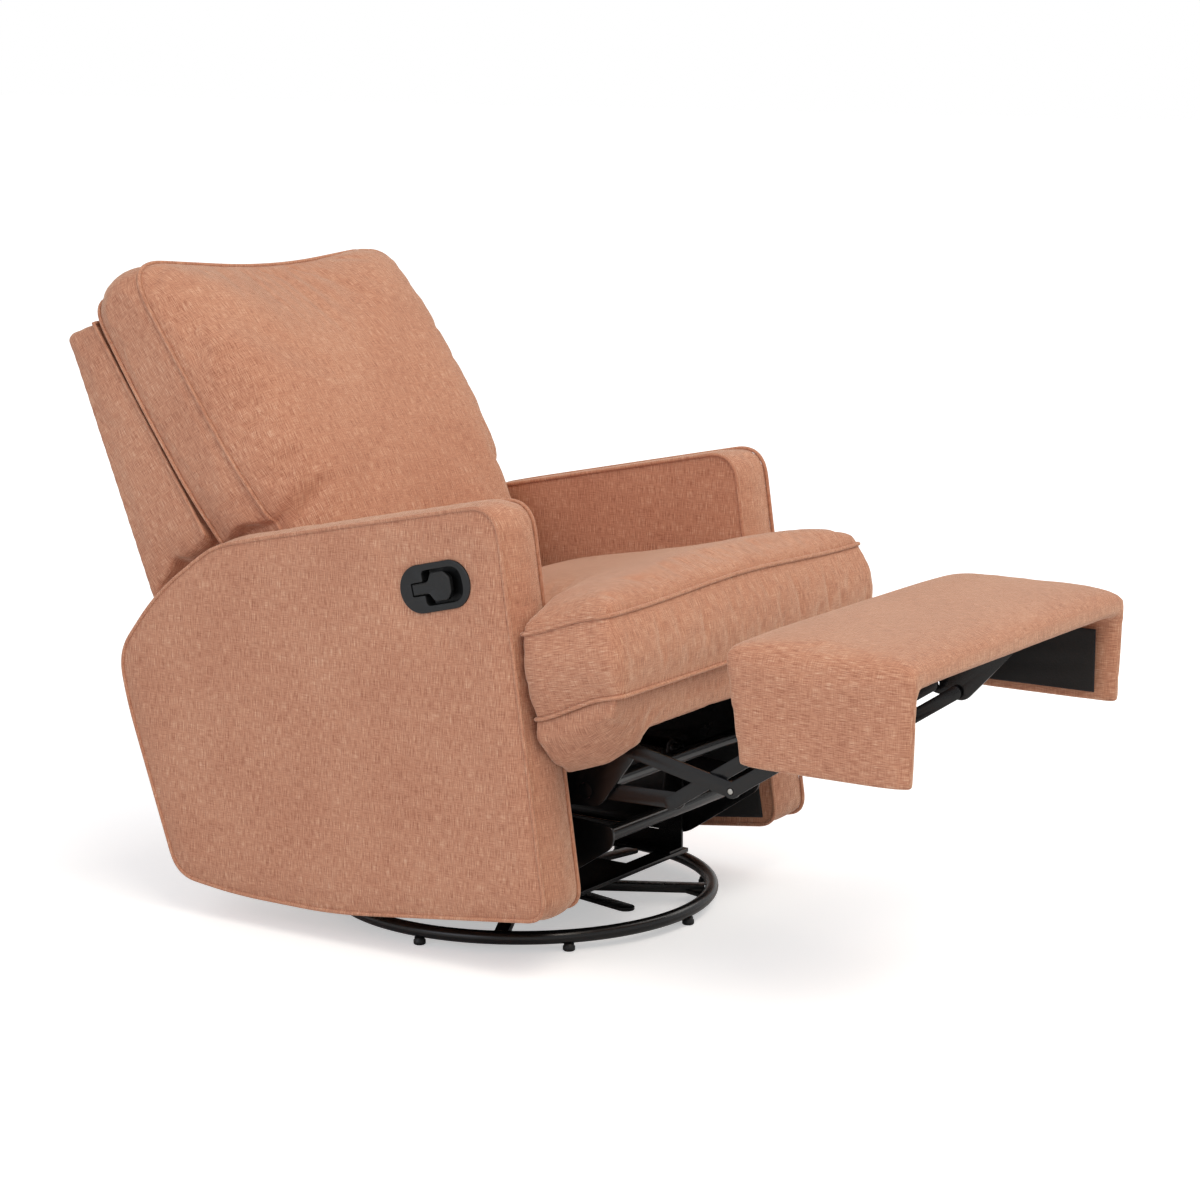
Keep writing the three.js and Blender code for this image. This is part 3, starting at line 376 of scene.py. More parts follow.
def eased_piece(node, body, material=black_steel, edge=edge_break):
    """The node with its edges eased, finished in a material, in the node's place."""
    name = f"{node}_finished"
    piece = finished(name, eased_copy(node, name, edge), material, body)
    piece.data.set_sharp_from_angle(angle=shaded_sharp_from)
    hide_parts(node)
    return piece


record_bodies = frame["record"]["behaviour"]["bodies"]
steel_nodes = {part["node"] for part in frame["record"]["subparts"] if part["material_slot"] == "black_steel"}
for body_name, members in record_bodies.items():
    for member in members:
        if member in steel_nodes and member != "base_ring":
            eased_piece(member, body_name)


# Bearing and bolt
# Two pressed races with balls between them, and the bolt that holds the plate down on them. Zinc plated.

race_radius = 0.062
race_edge = 0.0012
ball_groove = 0.0016
bolt_hole = 0.0085
bolt_edge = 0.0009
zinc_colour = "#B7B6B0"


def zinc_plate():
    """Bright zinc on turned steel: soft mirror, streaked round by the lathe and clouded by handling."""
    material, tree = new_material("bright_zinc_plated_steel")
    place = add(tree, "ShaderNodeTexCoord")
    cloud = add(tree, "ShaderNodeTexNoise", {"Vector": place.outputs["Object"], "Scale": 60.0, "Detail": 5.0})
    blur = add(tree, "ShaderNodeMapRange", {"Value": cloud.outputs[0], "To Min": 0.22, "To Max": 0.45})
    bump = add(tree, "ShaderNodeBump", {"Height": cloud.outputs[0], "Distance": 0.0001, "Strength": 0.3})
    plated = add(tree, "ShaderNodeBsdfPrincipled", {
        "Base Color": linear(zinc_colour), "Metallic": 1.0, "Roughness": blur.outputs[0],
        "Normal": bump.outputs[0],
    })
    add(tree, "ShaderNodeOutputMaterial", {"Surface": plated.outputs[0]})
    return material


bright_steel = zinc_plate()


def build_race(node):
    """Flat ring: its section is a rectangle with rounded corners and a ball groove, spun round the bolt."""
    low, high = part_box(node)
    tall = high.z - low.z
    soft = race_edge
    section = np.array([
        (bolt_hole, soft), (bolt_hole + soft, 0), (race_radius - soft, 0), (race_radius, soft),
        (race_radius, 0.42 * tall), (race_radius - ball_groove, 0.5 * tall), (race_radius, 0.58 * tall),
        (race_radius, tall - soft), (race_radius - soft, tall), (bolt_hole + soft, tall),
        (bolt_hole, tall - soft),
    ])
    angle = np.linspace(0, 2 * np.pi, 72, endpoint=False)[:, None]
    rings = np.stack([
        swivel[0] + section[:, 0] * np.cos(angle),
        swivel[1] + section[:, 0] * np.sin(angle),
        low.z + section[:, 1] + 0 * angle,
    ], axis=-1)[:, ::-1]
    body = "base" if "lower" in node else "swivel"
    race = finished(f"{node}_turned", closed_tube(node, rings), bright_steel, body)
    race.data.set_sharp_from_angle(angle=shaded_sharp_from)
    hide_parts(node)


build_race("bearing_lower_race")
build_race("bearing_upper_race")
eased_piece("swivel_bolt", "base", bright_steel, bolt_edge)


# Rivets
# Shouldered steel rivets at the pivots of the footrest links: their bright heads are ground almost flush.

rivet_radius = 0.0042
rivet_dome = 0.00035


def dome(name, middle, side, body):
    """Low dome with its axis along X: height = dome (1 - share^2.4)."""
    share = np.linspace(1, 0.08, 7)
    reach = rivet_radius * share
    out = rivet_dome * (1 - share ** 2.4)
    angle = np.linspace(0, 2 * np.pi, 24, endpoint=False)
    rings = np.stack([
        middle[0] + side * np.repeat(out[:, None], len(angle), axis=1),
        middle[1] + reach[:, None] * np.cos(angle),
        middle[2] + reach[:, None] * np.sin(angle),
    ], axis=-1)
    if side < 0:
        rings = rings[:, ::-1]
    last = middle + side * np.array([rivet_dome, 0, 0])
    return finished(name, closed_skin(name, rings, middle, last), bright_steel, body)


def joint_place(name):
    return np.array(joints[name]["pos_m"])


rivet_rows = [
    ("fold_rivet", "footrest_fold", "side_rail", "chair", 1),
    ("cross_rivet", "cross_link_turn", "footrest_rear_link", "footrest_rear_links", -1),
    ("elbow_rivet", "front_link_turn", "footrest_rear_link", "footrest_rear_links", 1),
    ("board_rivet", "footrest_turn", "footrest_front_link", "footrest_front_links", 1),
]
for side_name, side in (("right", -1), ("left", 1)):
    for rivet, joint, node, body, facing in rivet_rows:
        low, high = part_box(f"{node}_{side_name}")
        spot = joint_place(joint)
        spot[0] = high.x if side * facing > 0 else low.x
        dome(f"{rivet}_{side_name}", spot, side * facing, body)


# Drive shaft bushes
# Red nylon bushes, turned from rod, that the shaft's ends turn in.

nylon_colour = "#B5161C"
bush_edge = 0.0006


def red_nylon():
    """Dyed polyamide 6: slightly translucent and waxy, with faint turning lines."""
    material, tree = new_material("red_turned_nylon")
    place = add(tree, "ShaderNodeTexCoord")
    lines = add(tree, "ShaderNodeTexNoise", {"Vector": place.outputs["Object"], "Scale": 900.0})
    bump = add(tree, "ShaderNodeBump", {"Height": lines.outputs[0], "Distance": 0.0001, "Strength": 0.4})
    nylon = add(tree, "ShaderNodeBsdfPrincipled", {
        "Base Color": linear(nylon_colour), "Roughness": 0.42, "IOR": 1.53, "Normal": bump.outputs[0],
        "Subsurface Weight": 0.1, "Subsurface Scale": 0.002,
    })
    add(tree, "ShaderNodeOutputMaterial", {"Surface": nylon.outputs[0]})
    return material


nylon = red_nylon()
for side_name in ("right", "left"):
    eased_piece(f"drive_bush_{side_name}", "chair", nylon, bush_edge)


# Timber seat frame
# Four rough-sawn softwood boards, screwed into a box that the sprung deck is stapled in.

grain_width = 0.0022
grain_depth = 0.02
grain_length = 0.09
early_wood = "#D3B07C"
late_wood = "#9A7345"
board_edge = 0.0012


def sawn_softwood():
    """Sawn spruce: pale straw with darker late wood in long lines, and a fuzz of saw marks."""
    material, tree = new_material("sawn_spruce")
    place = add(tree, "ShaderNodeTexCoord")
    drawn = add(tree, "ShaderNodeMapping", {
        "Vector": place.outputs["Object"], "Scale": (1 / grain_depth, 1 / grain_length, 1 / grain_width),
    })
    rings = add(tree, "ShaderNodeTexNoise", {"Vector": drawn.outputs[0], "Scale": 1.0, "Detail": 3.0})
    tint = add(tree, "ShaderNodeValToRGB", {"Fac": rings.outputs[0]})
    tint.color_ramp.elements[0].color = linear(late_wood)
    tint.color_ramp.elements[0].position = 0.35
    tint.color_ramp.elements[1].color = linear(early_wood)
    tint.color_ramp.elements[1].position = 0.62
    bump = add(tree, "ShaderNodeBump", {"Height": rings.outputs[0], "Distance": 0.0004, "Strength": 0.6})
    wood = add(tree, "ShaderNodeBsdfPrincipled", {
        "Base Color": tint.outputs[0], "Roughness": 0.78, "Normal": bump.outputs[0],
    })
    add(tree, "ShaderNodeOutputMaterial", {"Surface": wood.outputs[0]})
    return material


spruce = sawn_softwood()
for board in ("seat_side_board_right", "seat_side_board_left", "seat_front_board", "seat_rear_board"):
    eased_piece(board, "chair", spruce, board_edge)


# Black linings
# Non-woven polypropylene dust cloth, stapled flat: over the sprung deck, low on the arms' inner faces,
# and inside the footrest's wings.

lining_thickness = 0.0008
lining_ripple = 0.0012
deck_edge = 0.001


def dust_cloth():
    """Spun-bonded black polypropylene: dull, with a fine crossed fibre and pressed dots."""
    material, tree = new_material("spun_bonded_dust_cloth")
    place = add(tree, "ShaderNodeTexCoord")
    fibre = add(tree, "ShaderNodeTexNoise", {"Vector": place.outputs["Object"], "Scale": 420.0, "Detail": 6.0,
                                             "Distortion": 1.2})
    dots = add(tree, "ShaderNodeTexVoronoi", {"Vector": place.outputs["Object"], "Scale": 330.0})
    both = add(tree, "ShaderNodeMath", {0: fibre.outputs[0], 1: dots.outputs["Distance"]}, operation="ADD")
    bump = add(tree, "ShaderNodeBump", {"Height": both.outputs[0], "Distance": 0.0003, "Strength": 0.7})
    shade = add(tree, "ShaderNodeValToRGB", {"Fac": fibre.outputs[0]})
    shade.color_ramp.elements[0].color = linear("#070707")
    shade.color_ramp.elements[1].color = linear("#1D1D1E")
    felt = add(tree, "ShaderNodeBsdfPrincipled", {
        "Base Color": shade.outputs[0], "Roughness": 0.85, "Normal": bump.outputs[0], "Sheen Weight": 0.15,
    })
    add(tree, "ShaderNodeOutputMaterial", {"Surface": felt.outputs[0]})
    return material


black_lining = dust_cloth()


def lining(node, body):
    """Flat sheet over the node's outline: out = ripple sin(a) sin(b), fading to nothing at the staples."""
    low, high = (np.array(corner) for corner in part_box(node))
    across, tall = 60, 40
    along_share = np.linspace(0, 1, across)[None, :]
    up_share = np.linspace(0, 1, tall)[:, None]
    y, z = lining_outline(node, along_share, up_share)
    held = (np.sin(np.pi * along_share) * np.sin(np.pi * up_share)) ** 0.5
    wave = np.sin(9 * along_share + 3 * up_share) + 0.5 * np.sin(17 * up_share + 4 * along_share)
    out = lining_ripple * held * wave
    side = 1 if low[0] > swivel[0] else -1
    face = high[0] if side > 0 else low[0]
    middle = face - side * (lining_thickness / 2 + lining_ripple * 1.5)
    x = middle + side * out
    points = np.stack([x, y, z], axis=-1).reshape(-1, 3)
    here = np.arange(tall - 1)[:, None] * across + np.arange(across - 1)
    faces = np.stack([here, here + 1, here + across + 1, here + across], axis=-1).reshape(-1, 4)
    mesh = bpy.data.meshes.new(f"{node}_cloth")
    mesh.from_pydata(points.tolist(), [], faces.tolist())
    piece = finished(f"{node}_cloth", mesh, black_lining, body)
    wall = piece.modifiers.new("wall", "SOLIDIFY")
    wall.thickness = lining_thickness
    wall.offset = 0
    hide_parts(node)
    return piece


def lining_outline(node, along_share, up_share):
    """The four corners of the node's face, blended: (1-a)(1-b) p + a (1-b) q + a b r + (1-a) b s."""
    places = np.array([v.co for v in frame["nodes"][node].data.vertices])[:, 1:]
    centre = places.mean(axis=0)
    signs = np.array([(-1, -1), (1, -1), (1, 1), (-1, 1)])
    corners = [places[np.argmax((places - centre) @ sign)] for sign in signs]
    blend = [(1 - along_share) * (1 - up_share), along_share * (1 - up_share),
             along_share * up_share, (1 - along_share) * up_share]
    y = sum(share * corner[0] for share, corner in zip(blend, corners))
    z = sum(share * corner[1] for share, corner in zip(blend, corners))
    return y, z


for side_name in ("right", "left"):
    lining(f"arm_liner_{side_name}", "chair")
    lining(f"footrest_liner_{side_name}", "footrest")
deck_cover = eased_copy("seat_spring_deck", "seat_spring_deck_finished", deck_edge)
deck = finished("seat_spring_deck_finished", deck_cover, black_lining, "chair")
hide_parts("seat_spring_deck")


# Seat cushion
# T-shaped boxed cushion of moulded foam wrapped in fibre, in a piped cover of slubby woven polyester. Its
# ears wrap in front of the arms and hang a little. Made as rings of cloth, then blown up with its seams held.

seat_front = swivel + (0, -0.382, 0.531)
seat_pitch = math.radians(11)
seat_depth = 0.522
seat_thickness = 0.109
seat_crown = 0.036
seat_fullness = 0.85
seat_body_half = 0.262
seat_ear_half = 0.347
seat_ear_length = 0.148
seat_front_swell = 0.009
seat_side_swell = 0.002
seat_ear_swell = 0.004
seat_corner_radii = [0.015, 0.015, 0.012, 0.010, 0.030, 0.030, 0.010, 0.012]
seat_seam_rise = 0.008
seat_rise_half = 0.3
seat_rise_depth = 0.2
seat_rear_dip = 0.019
seat_dip_start = 0.462
seat_dip_length = 0.040
ear_hang_top = 0.013
ear_hang_bottom = 0.021
ear_hang_width = 0.055
ear_hang_start = 0.02
arm_inner = 0.269
arm_squeeze = 0.0015
piping_radius = 0.0029
cloth_step = 0.006
seam_step = 0.005
pucker_spacing = 0.017
pucker_drift = 0.061
pucker_reach = 0.009
drawn_reach = 0.008
air_frames = 20
yarn_colours = {"shade": "#96624B", "rust": "#B77E65", "terracotta": "#CB9477", "straw": "#E0BBA1"}
slub_width = 0.0010
slub_length = 0.018
weave_cloud = 0.13


def smooth(t):
    """0 below 0, 1 above 1, and 3 t^2 - 2 t^3 between."""
    t = np.clip(t, 0, 1)
    return t * t * (3 - 2 * t)


def evenly(path, step, closed=True):
    """The same path with its points a step apart along its length."""
    whole = np.vstack([path, path[:1]]) if closed else np.array(path, float)
    along = np.concatenate([[0], np.cumsum(np.linalg.norm(np.diff(whole, axis=0), axis=1))])
    count = max(8, round(along[-1] / step))
    places = np.linspace(0, along[-1], count, endpoint=not closed)
    return np.stack([np.interp(places, along, whole[:, axis]) for axis in range(whole.shape[1])], axis=1)


def rounded(corners, radii, step):
    """Closed outline: at a corner c it follows (1-t)^2 a + 2 t (1-t) c + t^2 b. It is evenly resampled."""
    corners = np.array(corners, float)
    before = np.roll(corners, 1, axis=0) - corners
    after = np.roll(corners, -1, axis=0) - corners
    long_before = np.linalg.norm(before, axis=1)
    long_after = np.linalg.norm(after, axis=1)
    cut = np.minimum(np.array(radii), 0.45 * np.minimum(long_before, long_after))
    start = corners + before * (cut / long_before)[:, None]
    end = corners + after * (cut / long_after)[:, None]
    t = np.linspace(0, 1, 13)[:, None, None]
    curve = (1 - t) ** 2 * start + 2 * t * (1 - t) * corners + t ** 2 * end
    return evenly(curve.transpose(1, 0, 2).reshape(-1, 2), step)


def outward(outline):
    """Unit normal at each point of an anticlockwise outline: its tangent, a quarter turn to the right."""
    tangent = np.roll(outline, -1, axis=0) - np.roll(outline, 1, axis=0)
    normal = np.stack([tangent[:, 1], -tangent[:, 0]], axis=1)
    return normal / np.linalg.norm(normal, axis=1, keepdims=True)


def at_level(outline, level):
    """The outline's points, all at one level."""
    return np.column_stack([outline, np.full(len(outline), level)])


def boxed_pad(low_outline, high_outline, centre, low, high, low_crown=0.0, high_crown=0.0, swell=0.0,
              fullness=0.7, power=8, boxing_rows=16):
    """Rings (u, v, w) of a boxed pad, from the middle of its low face to the middle of its high face.

    Faces: w = seam level + crown (f (1 - s^power)^0.4 + (1 - f) (1 - s^2)) at share s of the way out to the
    seam, with f the fullness. Boxing: out = swell (1 - (2k - 1)^2) at share k of the way up. The swell and
    the fullness may differ along the seam.
    """
    share = np.sin(np.linspace(0.03, 0.49 * np.pi, 30))[:, None]
    rise = fullness * (1 - share ** power) ** 0.4 + (1 - fullness) * (1 - share ** 2)
    rise = (rise * np.ones(len(low_outline)))[..., None]
    low_face = centre + share[..., None] * (low_outline - centre)
    high_face = centre + share[..., None] * (high_outline - centre)
    under = np.concatenate([low_face, low - low_crown * rise], axis=2)
    over = np.concatenate([high_face, high + high_crown * rise], axis=2)
    k = np.linspace(0, 1, boxing_rows)[:, None]
    side = low_outline + k[..., None] * (high_outline - low_outline)
    side = side + (swell * (1 - (2 * k - 1) ** 2))[..., None] * outward(high_outline)
    level = np.repeat((low + k * (high - low))[..., None], len(low_outline), axis=1)
    boxing = np.concatenate([side, level], axis=2)
    first = np.array([*centre, low - low_crown])
    last = np.array([*centre, high + high_crown])
    return np.concatenate([under, boxing, over[::-1]]), first, last


class Leaning:
    """A leaning frame: place = origin + u across + v along + w out, and the other way round."""

    def __init__(self, origin, across, along, out):
        self.origin = np.array(origin, float)
        self.axes = np.array([across, along, out], float)

    def place(self, local):
        return self.origin + local @ self.axes

    def local(self, place):
        return (place - self.origin) @ self.axes.T

    def skin(self, name, rings, first, last):
        return closed_skin(name, self.place(rings), self.place(first), self.place(last))


seat = Leaning(
    seat_front, (1, 0, 0), (0, math.cos(seat_pitch), -math.sin(seat_pitch)),
    (0, math.sin(seat_pitch), math.cos(seat_pitch)),
)
upright = Leaning(swivel, (0, 1, 0), (0, 0, 1), (1, 0, 0))


def woven_cloth():
    """Linen-look woven polyester: a plain weave of slubby yarns, terracotta with rusty and straw flecks.

    A yarn is 0.7 mm wide. That is too fine for the picture, so the slubs are drawn 1 mm wide.
    """
    material, tree = new_material("slubby_woven_polyester")
    flat = add(tree, "ShaderNodeUVMap", uv_map="weave")
    yarns = []
    for scale in ((1 / slub_width, 1 / slub_length, 1), (1 / slub_length, 1 / slub_width, 1)):
        drawn = add(tree, "ShaderNodeMapping", {"Vector": flat.outputs[0], "Scale": scale})
        yarn = add(tree, "ShaderNodeTexNoise", {"Vector": drawn.outputs[0], "Scale": 1.0, "Detail": 3.0,
                                                "Roughness": 0.6}, noise_dimensions="2D")
        yarns.append(yarn.outputs[0])
    warp = add(tree, "ShaderNodeMath", {0: yarns[0], 1: 1.3}, operation="MULTIPLY")
    crossed = add(tree, "ShaderNodeMath", {0: yarns[1], 1: 0.7, 2: warp.outputs[0]}, operation="MULTIPLY_ADD")
    place = add(tree, "ShaderNodeTexCoord")
    cloud = add(tree, "ShaderNodeTexNoise", {"Vector": place.outputs["Object"], "Scale": 1 / weave_cloud,
                                             "Detail": 3.0})
    shaded = add(tree, "ShaderNodeMath", {0: cloud.outputs[0], 1: 0.25, 2: crossed.outputs[0]},
                 operation="MULTIPLY_ADD")
    fleck = add(tree, "ShaderNodeMapRange", {"Value": shaded.outputs[0], "From Min": 0.66, "From Max": 1.59})
    dye = add(tree, "ShaderNodeValToRGB", {"Fac": fleck.outputs[0]})
    stops = dye.color_ramp.elements
    stops[0].position, stops[0].color = 0.05, linear(yarn_colours["shade"])
    stops[1].position, stops[1].color = 0.95, linear(yarn_colours["straw"])
    stops.new(0.36).color = linear(yarn_colours["rust"])
    stops.new(0.62).color = linear(yarn_colours["terracotta"])
    bump = add(tree, "ShaderNodeBump", {"Height": crossed.outputs[0], "Distance": 0.0012, "Strength": 0.45})
    cloth = add(tree, "ShaderNodeBsdfPrincipled", {
        "Base Color": dye.outputs[0], "Roughness": 0.88, "Normal": bump.outputs[0],
        "Sheen Weight": 0.85, "Sheen Roughness": 0.32, "Sheen Tint": linear("#F6DFC8"),
        "Specular IOR Level": 0.25,
    })
    add(tree, "ShaderNodeOutputMaterial", {"Surface": cloth.outputs[0]})
    return material


terracotta = woven_cloth()


def points_of(mesh):
    """The mesh's points as one array."""
    flat = np.empty(3 * len(mesh.vertices))
    mesh.vertices.foreach_get("co", flat)
    return flat.reshape(-1, 3)


def lay_weave(mesh, frame_of, apart=0.4):
    """UV map "weave" in metres: each face is laid flat along the frame's axis that it faces most."""
    local = frame_of.local(points_of(mesh))
    corners = np.empty(len(mesh.loops), int)
    mesh.loops.foreach_get("vertex_index", corners)
    normals = np.empty(3 * len(mesh.polygons))
    mesh.polygons.foreach_get("normal", normals)
    sizes = np.empty(len(mesh.polygons), int)
    mesh.polygons.foreach_get("loop_total", sizes)
    facing = np.argmax(np.abs(normals.reshape(-1, 3) @ frame_of.axes.T), axis=1)
    facing = np.repeat(facing, sizes)
    at = local[corners]
    sideways = np.where((facing == 1)[:, None], at[:, [0, 2]], at[:, [2, 1]])
    flat = np.where((facing == 2)[:, None], at[:, [0, 1]], sideways)
    layer = mesh.uv_layers.get("weave") or mesh.uv_layers.new(name="weave")
    layer.uv.foreach_set("vector", (flat + apart * facing[:, None]).ravel())


def upholstered(name, mesh, frame_of, body):
    """A piece in the woven cloth, with its weave laid along the frame's axes."""
    piece = finished(name, mesh, terracotta, body)
    lay_weave(mesh, frame_of)
    return piece


def face_outward(mesh):
    """The closed mesh with every face turned outwards."""
    work = bmesh.new()
    work.from_mesh(mesh)
    bmesh.ops.recalc_face_normals(work, faces=work.faces)
    work.to_mesh(mesh)
    work.free()
    return mesh


def piping(name, path, frame_of, body, closed=True):
    """Round tube of self-covered cord along a seam: point = path + r (cos b side + sin b up)."""
    path = evenly(path, seam_step, closed)
    ahead = np.roll(path, -1, axis=0) - np.roll(path, 1, axis=0)
    tangent = ahead if closed else np.gradient(path, axis=0)
    tangent = tangent / np.linalg.norm(tangent, axis=1, keepdims=True)
    square = np.linalg.svd(path - path.mean(axis=0), full_matrices=False)[2][2]
    side = np.cross(tangent, square)
    side /= np.linalg.norm(side, axis=1, keepdims=True)
    up = np.cross(side, tangent)
    angle = np.linspace(0, 2 * np.pi, 12, endpoint=False)[None, :, None]
    ring = np.cos(angle) * side[:, None] + np.sin(angle) * up[:, None]
    if closed:
        mesh = closed_tube(name, path[:, None] + piping_radius * ring)
    else:
        radius = np.full((len(path), 1, 1), piping_radius)
        radius[[0, -1]] *= 0.6
        mesh = closed_skin(name, path[:, None] + radius * ring, path[0] - 0.6 * piping_radius * tangent[0],
                           path[-1] + 0.6 * piping_radius * tangent[-1])
    return upholstered(name, face_outward(mesh), frame_of, body)


def nearest_seam(points, seam):
    """For each point the distance to the nearest point of the seams, and that seam point's number."""
    far, which = [], []
    for start in range(0, len(points), 2000):
        away = np.linalg.norm(points[start:start + 2000, None] - seam[None], axis=2)
        far.append(away.min(axis=1))
        which.append(away.argmin(axis=1))
    return np.concatenate(far), np.concatenate(which)


def baked(piece):
    """The piece's mesh with its modifiers applied, and the modifiers gone."""
    mesh = bpy.data.meshes.new_from_object(piece.evaluated_get(bpy.context.evaluated_depsgraph_get()))
    mesh.name = piece.name
    piece.modifiers.clear()
    piece.data = mesh
    mesh.materials.clear()
    mesh.materials.append(terracotta)
    return mesh


def blow_up(piece, fixed, pressure, slack):
    """Blender's Cloth filled with air for 20 frames, without weight; fixed points stay where they are."""
    scene = bpy.context.scene
    group = piece.vertex_groups.new(name="held")
    group.add(np.nonzero(fixed)[0].tolist(), 1.0, "REPLACE")
    cloth = piece.modifiers.new("cloth", "CLOTH")
    cloth.settings.quality = 3
    cloth.settings.mass = 0.3
    cloth.settings.tension_stiffness = 12
    cloth.settings.compression_stiffness = 12
    cloth.settings.bending_stiffness = 0.6
    cloth.settings.use_pressure = True
    cloth.settings.uniform_pressure_force = pressure
    cloth.settings.shrink_min = -slack
    cloth.settings.vertex_group_mass = "held"
    cloth.settings.effector_weights.gravity = 0
    cloth.point_cache.frame_end = air_frames
    for number in range(1, air_frames + 1):
        scene.frame_set(number)
    blown = points_of(piece.evaluated_get(bpy.context.evaluated_depsgraph_get()).data)
    piece.modifiers.clear()
    piece.vertex_groups.clear()
    scene.frame_set(1)
    return blown


def stuff(piece, seams, frame_of, grid, cap, pressure=4.0, slack=0.02, held=None, kept_in=None, pucker=0.0008,
          drawn=0.8, fade=0.035):
    """Fills a cover: voxel remesh, Cloth blown up by air with its seams held, and one subdivision.

    A point moves cap tanh(|d| / cap), less towards the seams: times smooth(distance / fade). Then the seam
    puckers the cloth, pucker exp(-distance / reach) (1 + sin(a)) / 2 deep with a along the seam, and draws it
    to its cord, by drawn exp(-(distance / reach)^2) of the way.
    """
    remesh = piece.modifiers.new("remesh", "REMESH")
    remesh.mode = "VOXEL"
    remesh.voxel_size = grid
    coarse = baked(piece)
    rest = points_of(coarse)
    seam = np.vstack([evenly(path, seam_step, closed) for path, closed in seams])
    distance = nearest_seam(rest, seam)[0]
    fixed = distance < 1.2 * grid
    if held is not None:
        fixed |= held(rest)
    step = blow_up(piece, fixed, pressure, slack) - rest
    length = np.linalg.norm(step, axis=1, keepdims=True)
    step *= cap * np.tanh(length / cap) / np.maximum(length, 1e-9)
    coarse.vertices.foreach_set("co", (rest + step * smooth(distance / fade)[:, None]).ravel())
    coarse.update()
    finer = piece.modifiers.new("finer", "SUBSURF")
    finer.levels = 1
    fine = baked(piece)
    points = points_of(fine)
    distance, number = nearest_seam(points, seam)
    run = number * seam_step
    drift = 1.7 * np.sin(2 * np.pi * run / pucker_drift)
    wave = 0.5 + 0.5 * np.sin(2 * np.pi * run / pucker_spacing + drift)
    normals = np.empty(3 * len(points))
    fine.vertex_normals.foreach_get("vector", normals)
    points = points - (pucker * wave * np.exp(-distance / pucker_reach))[:, None] * normals.reshape(-1, 3)
    points = points + (drawn * np.exp(-(distance / drawn_reach) ** 2))[:, None] * (seam[number] - points)
    if kept_in is not None:
        points = kept_in(points)
    fine.vertices.foreach_set("co", points.ravel())
    fine.update()
    fine.polygons.foreach_set("use_smooth", np.full(len(fine.polygons), True))
    lay_weave(fine, frame_of)
    return piece


def settle(local):
    """The seat pad as it lies: its front top seam rises in the middle, its ears hang, and its rear edge is
    pressed down where the back's foot comes forward over it.
    """
    u, v, w = local[..., 0], local[..., 1], local[..., 2]
    upper = smooth((w + seat_thickness) / seat_thickness)
    forward = smooth((v - ear_hang_start) / (seat_ear_length - ear_hang_start))
    ear = smooth((np.abs(u) - seat_body_half) / ear_hang_width) * forward
    hang = ear * (ear_hang_bottom + (ear_hang_top - ear_hang_bottom) * upper)
    middle = 1 - smooth(np.abs(u) / seat_rise_half)
    rise = seat_seam_rise * upper * middle * (1 - smooth(v / seat_rise_depth))
    dip = seat_rear_dip * upper * smooth((v - seat_dip_start) / seat_dip_length)
    return np.stack([u, v, w - hang + rise - dip], axis=-1)


def between_arms(points):
    """Pressed flat where the arms hold it: |x| stays a little inside them behind the ears."""
    local = seat.local(points)
    inside = local[:, 1] > seat_ear_length + 0.004
    limit = np.where(inside, arm_inner - arm_squeeze, 1.0)
    x = points[:, 0] - swivel[0]
    points = points.copy()
    points[:, 0] = swivel[0] + np.clip(x, -limit, limit)
    return points


def build_seat_cushion():
    """A T-shaped boxed pad: crowned above, flat below, fuller in front, with a cord on both seams."""
    ear, body, length = seat_ear_half, seat_body_half, seat_ear_length
    corners = [(-ear, 0), (ear, 0), (ear, length), (body, length), (body, seat_depth), (-body, seat_depth),
               (-body, length), (-ear, length)]
    outline = rounded(corners, seat_corner_radii, cloth_step)
    in_front = smooth((length - outline[:, 1]) / 0.03)
    swell = seat_side_swell + (seat_front_swell - seat_side_swell) * in_front
    swell = swell + seat_ear_swell * smooth((np.abs(outline[:, 0]) - 0.32) / 0.02)
    rings, first, last = boxed_pad(outline, outline, np.array([0, length / 2]), -seat_thickness, 0,
                                   high_crown=seat_crown, swell=swell, fullness=seat_fullness)
    mesh = seat.skin("seat_cushion_cover", settle(rings), settle(first), settle(last))
    cushion = upholstered("seat_cushion_cover", mesh, seat, "chair")
    seams = [(seat.place(settle(at_level(outline, level))), True) for level in (0, -seat_thickness)]

    def held(points):
        local = seat.local(points)
        underside = seat.local(seat.place(settle(local * (1, 1, 0) + (0, 0, -seat_thickness))))[:, 2]
        return local[:, 2] < underside + 0.003

    stuff(cushion, seams, seat, grid=0.007, cap=0.009, held=held, kept_in=between_arms)
    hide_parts("seat_cushion")
    line = outline + 0.5 * piping_radius * outward(outline)
    for level, place in ((0.4 * piping_radius, "top"), (-seat_thickness, "bottom")):
        path = seat.place(settle(at_level(line, level)))
        piping(f"seat_{place}_piping", between_arms(path), seat, "chair")


build_seat_cushion()


# Apron
# The same cloth pulled over a front board and a shaped block under each ear, and tucked up below the
# cushion. Feet are (Y, Z) points of the lower edge.

apron_inner = 0.2520
apron_ear_skirt = 0.027
apron_board = 0.018
apron_inset = 0.006
apron_rear = -0.259
apron_board_foot = [(-0.386, 0.362), (-0.380, 0.360), (-0.374, 0.360), (-0.368, 0.362)]
apron_ear_foot = [(-0.386, 0.362), (-0.373, 0.338), (-0.329, 0.308), (apron_rear, 0.284)]
fit = 0.0003


def seat_point(behind, above):
    """(Y, Z) from the swivel of a point of the pitched seat."""
    return (seat.place(np.array([0, behind, above])) - swivel)[1:]


def under_cushion(y, drop):
    """(Y, Z) of the point at that Y, a drop below the cushion's underside, square to it."""
    above = -seat_thickness - fit - drop
    return seat_point((y - seat_point(0, above)[0]) / math.cos(seat_pitch), above)


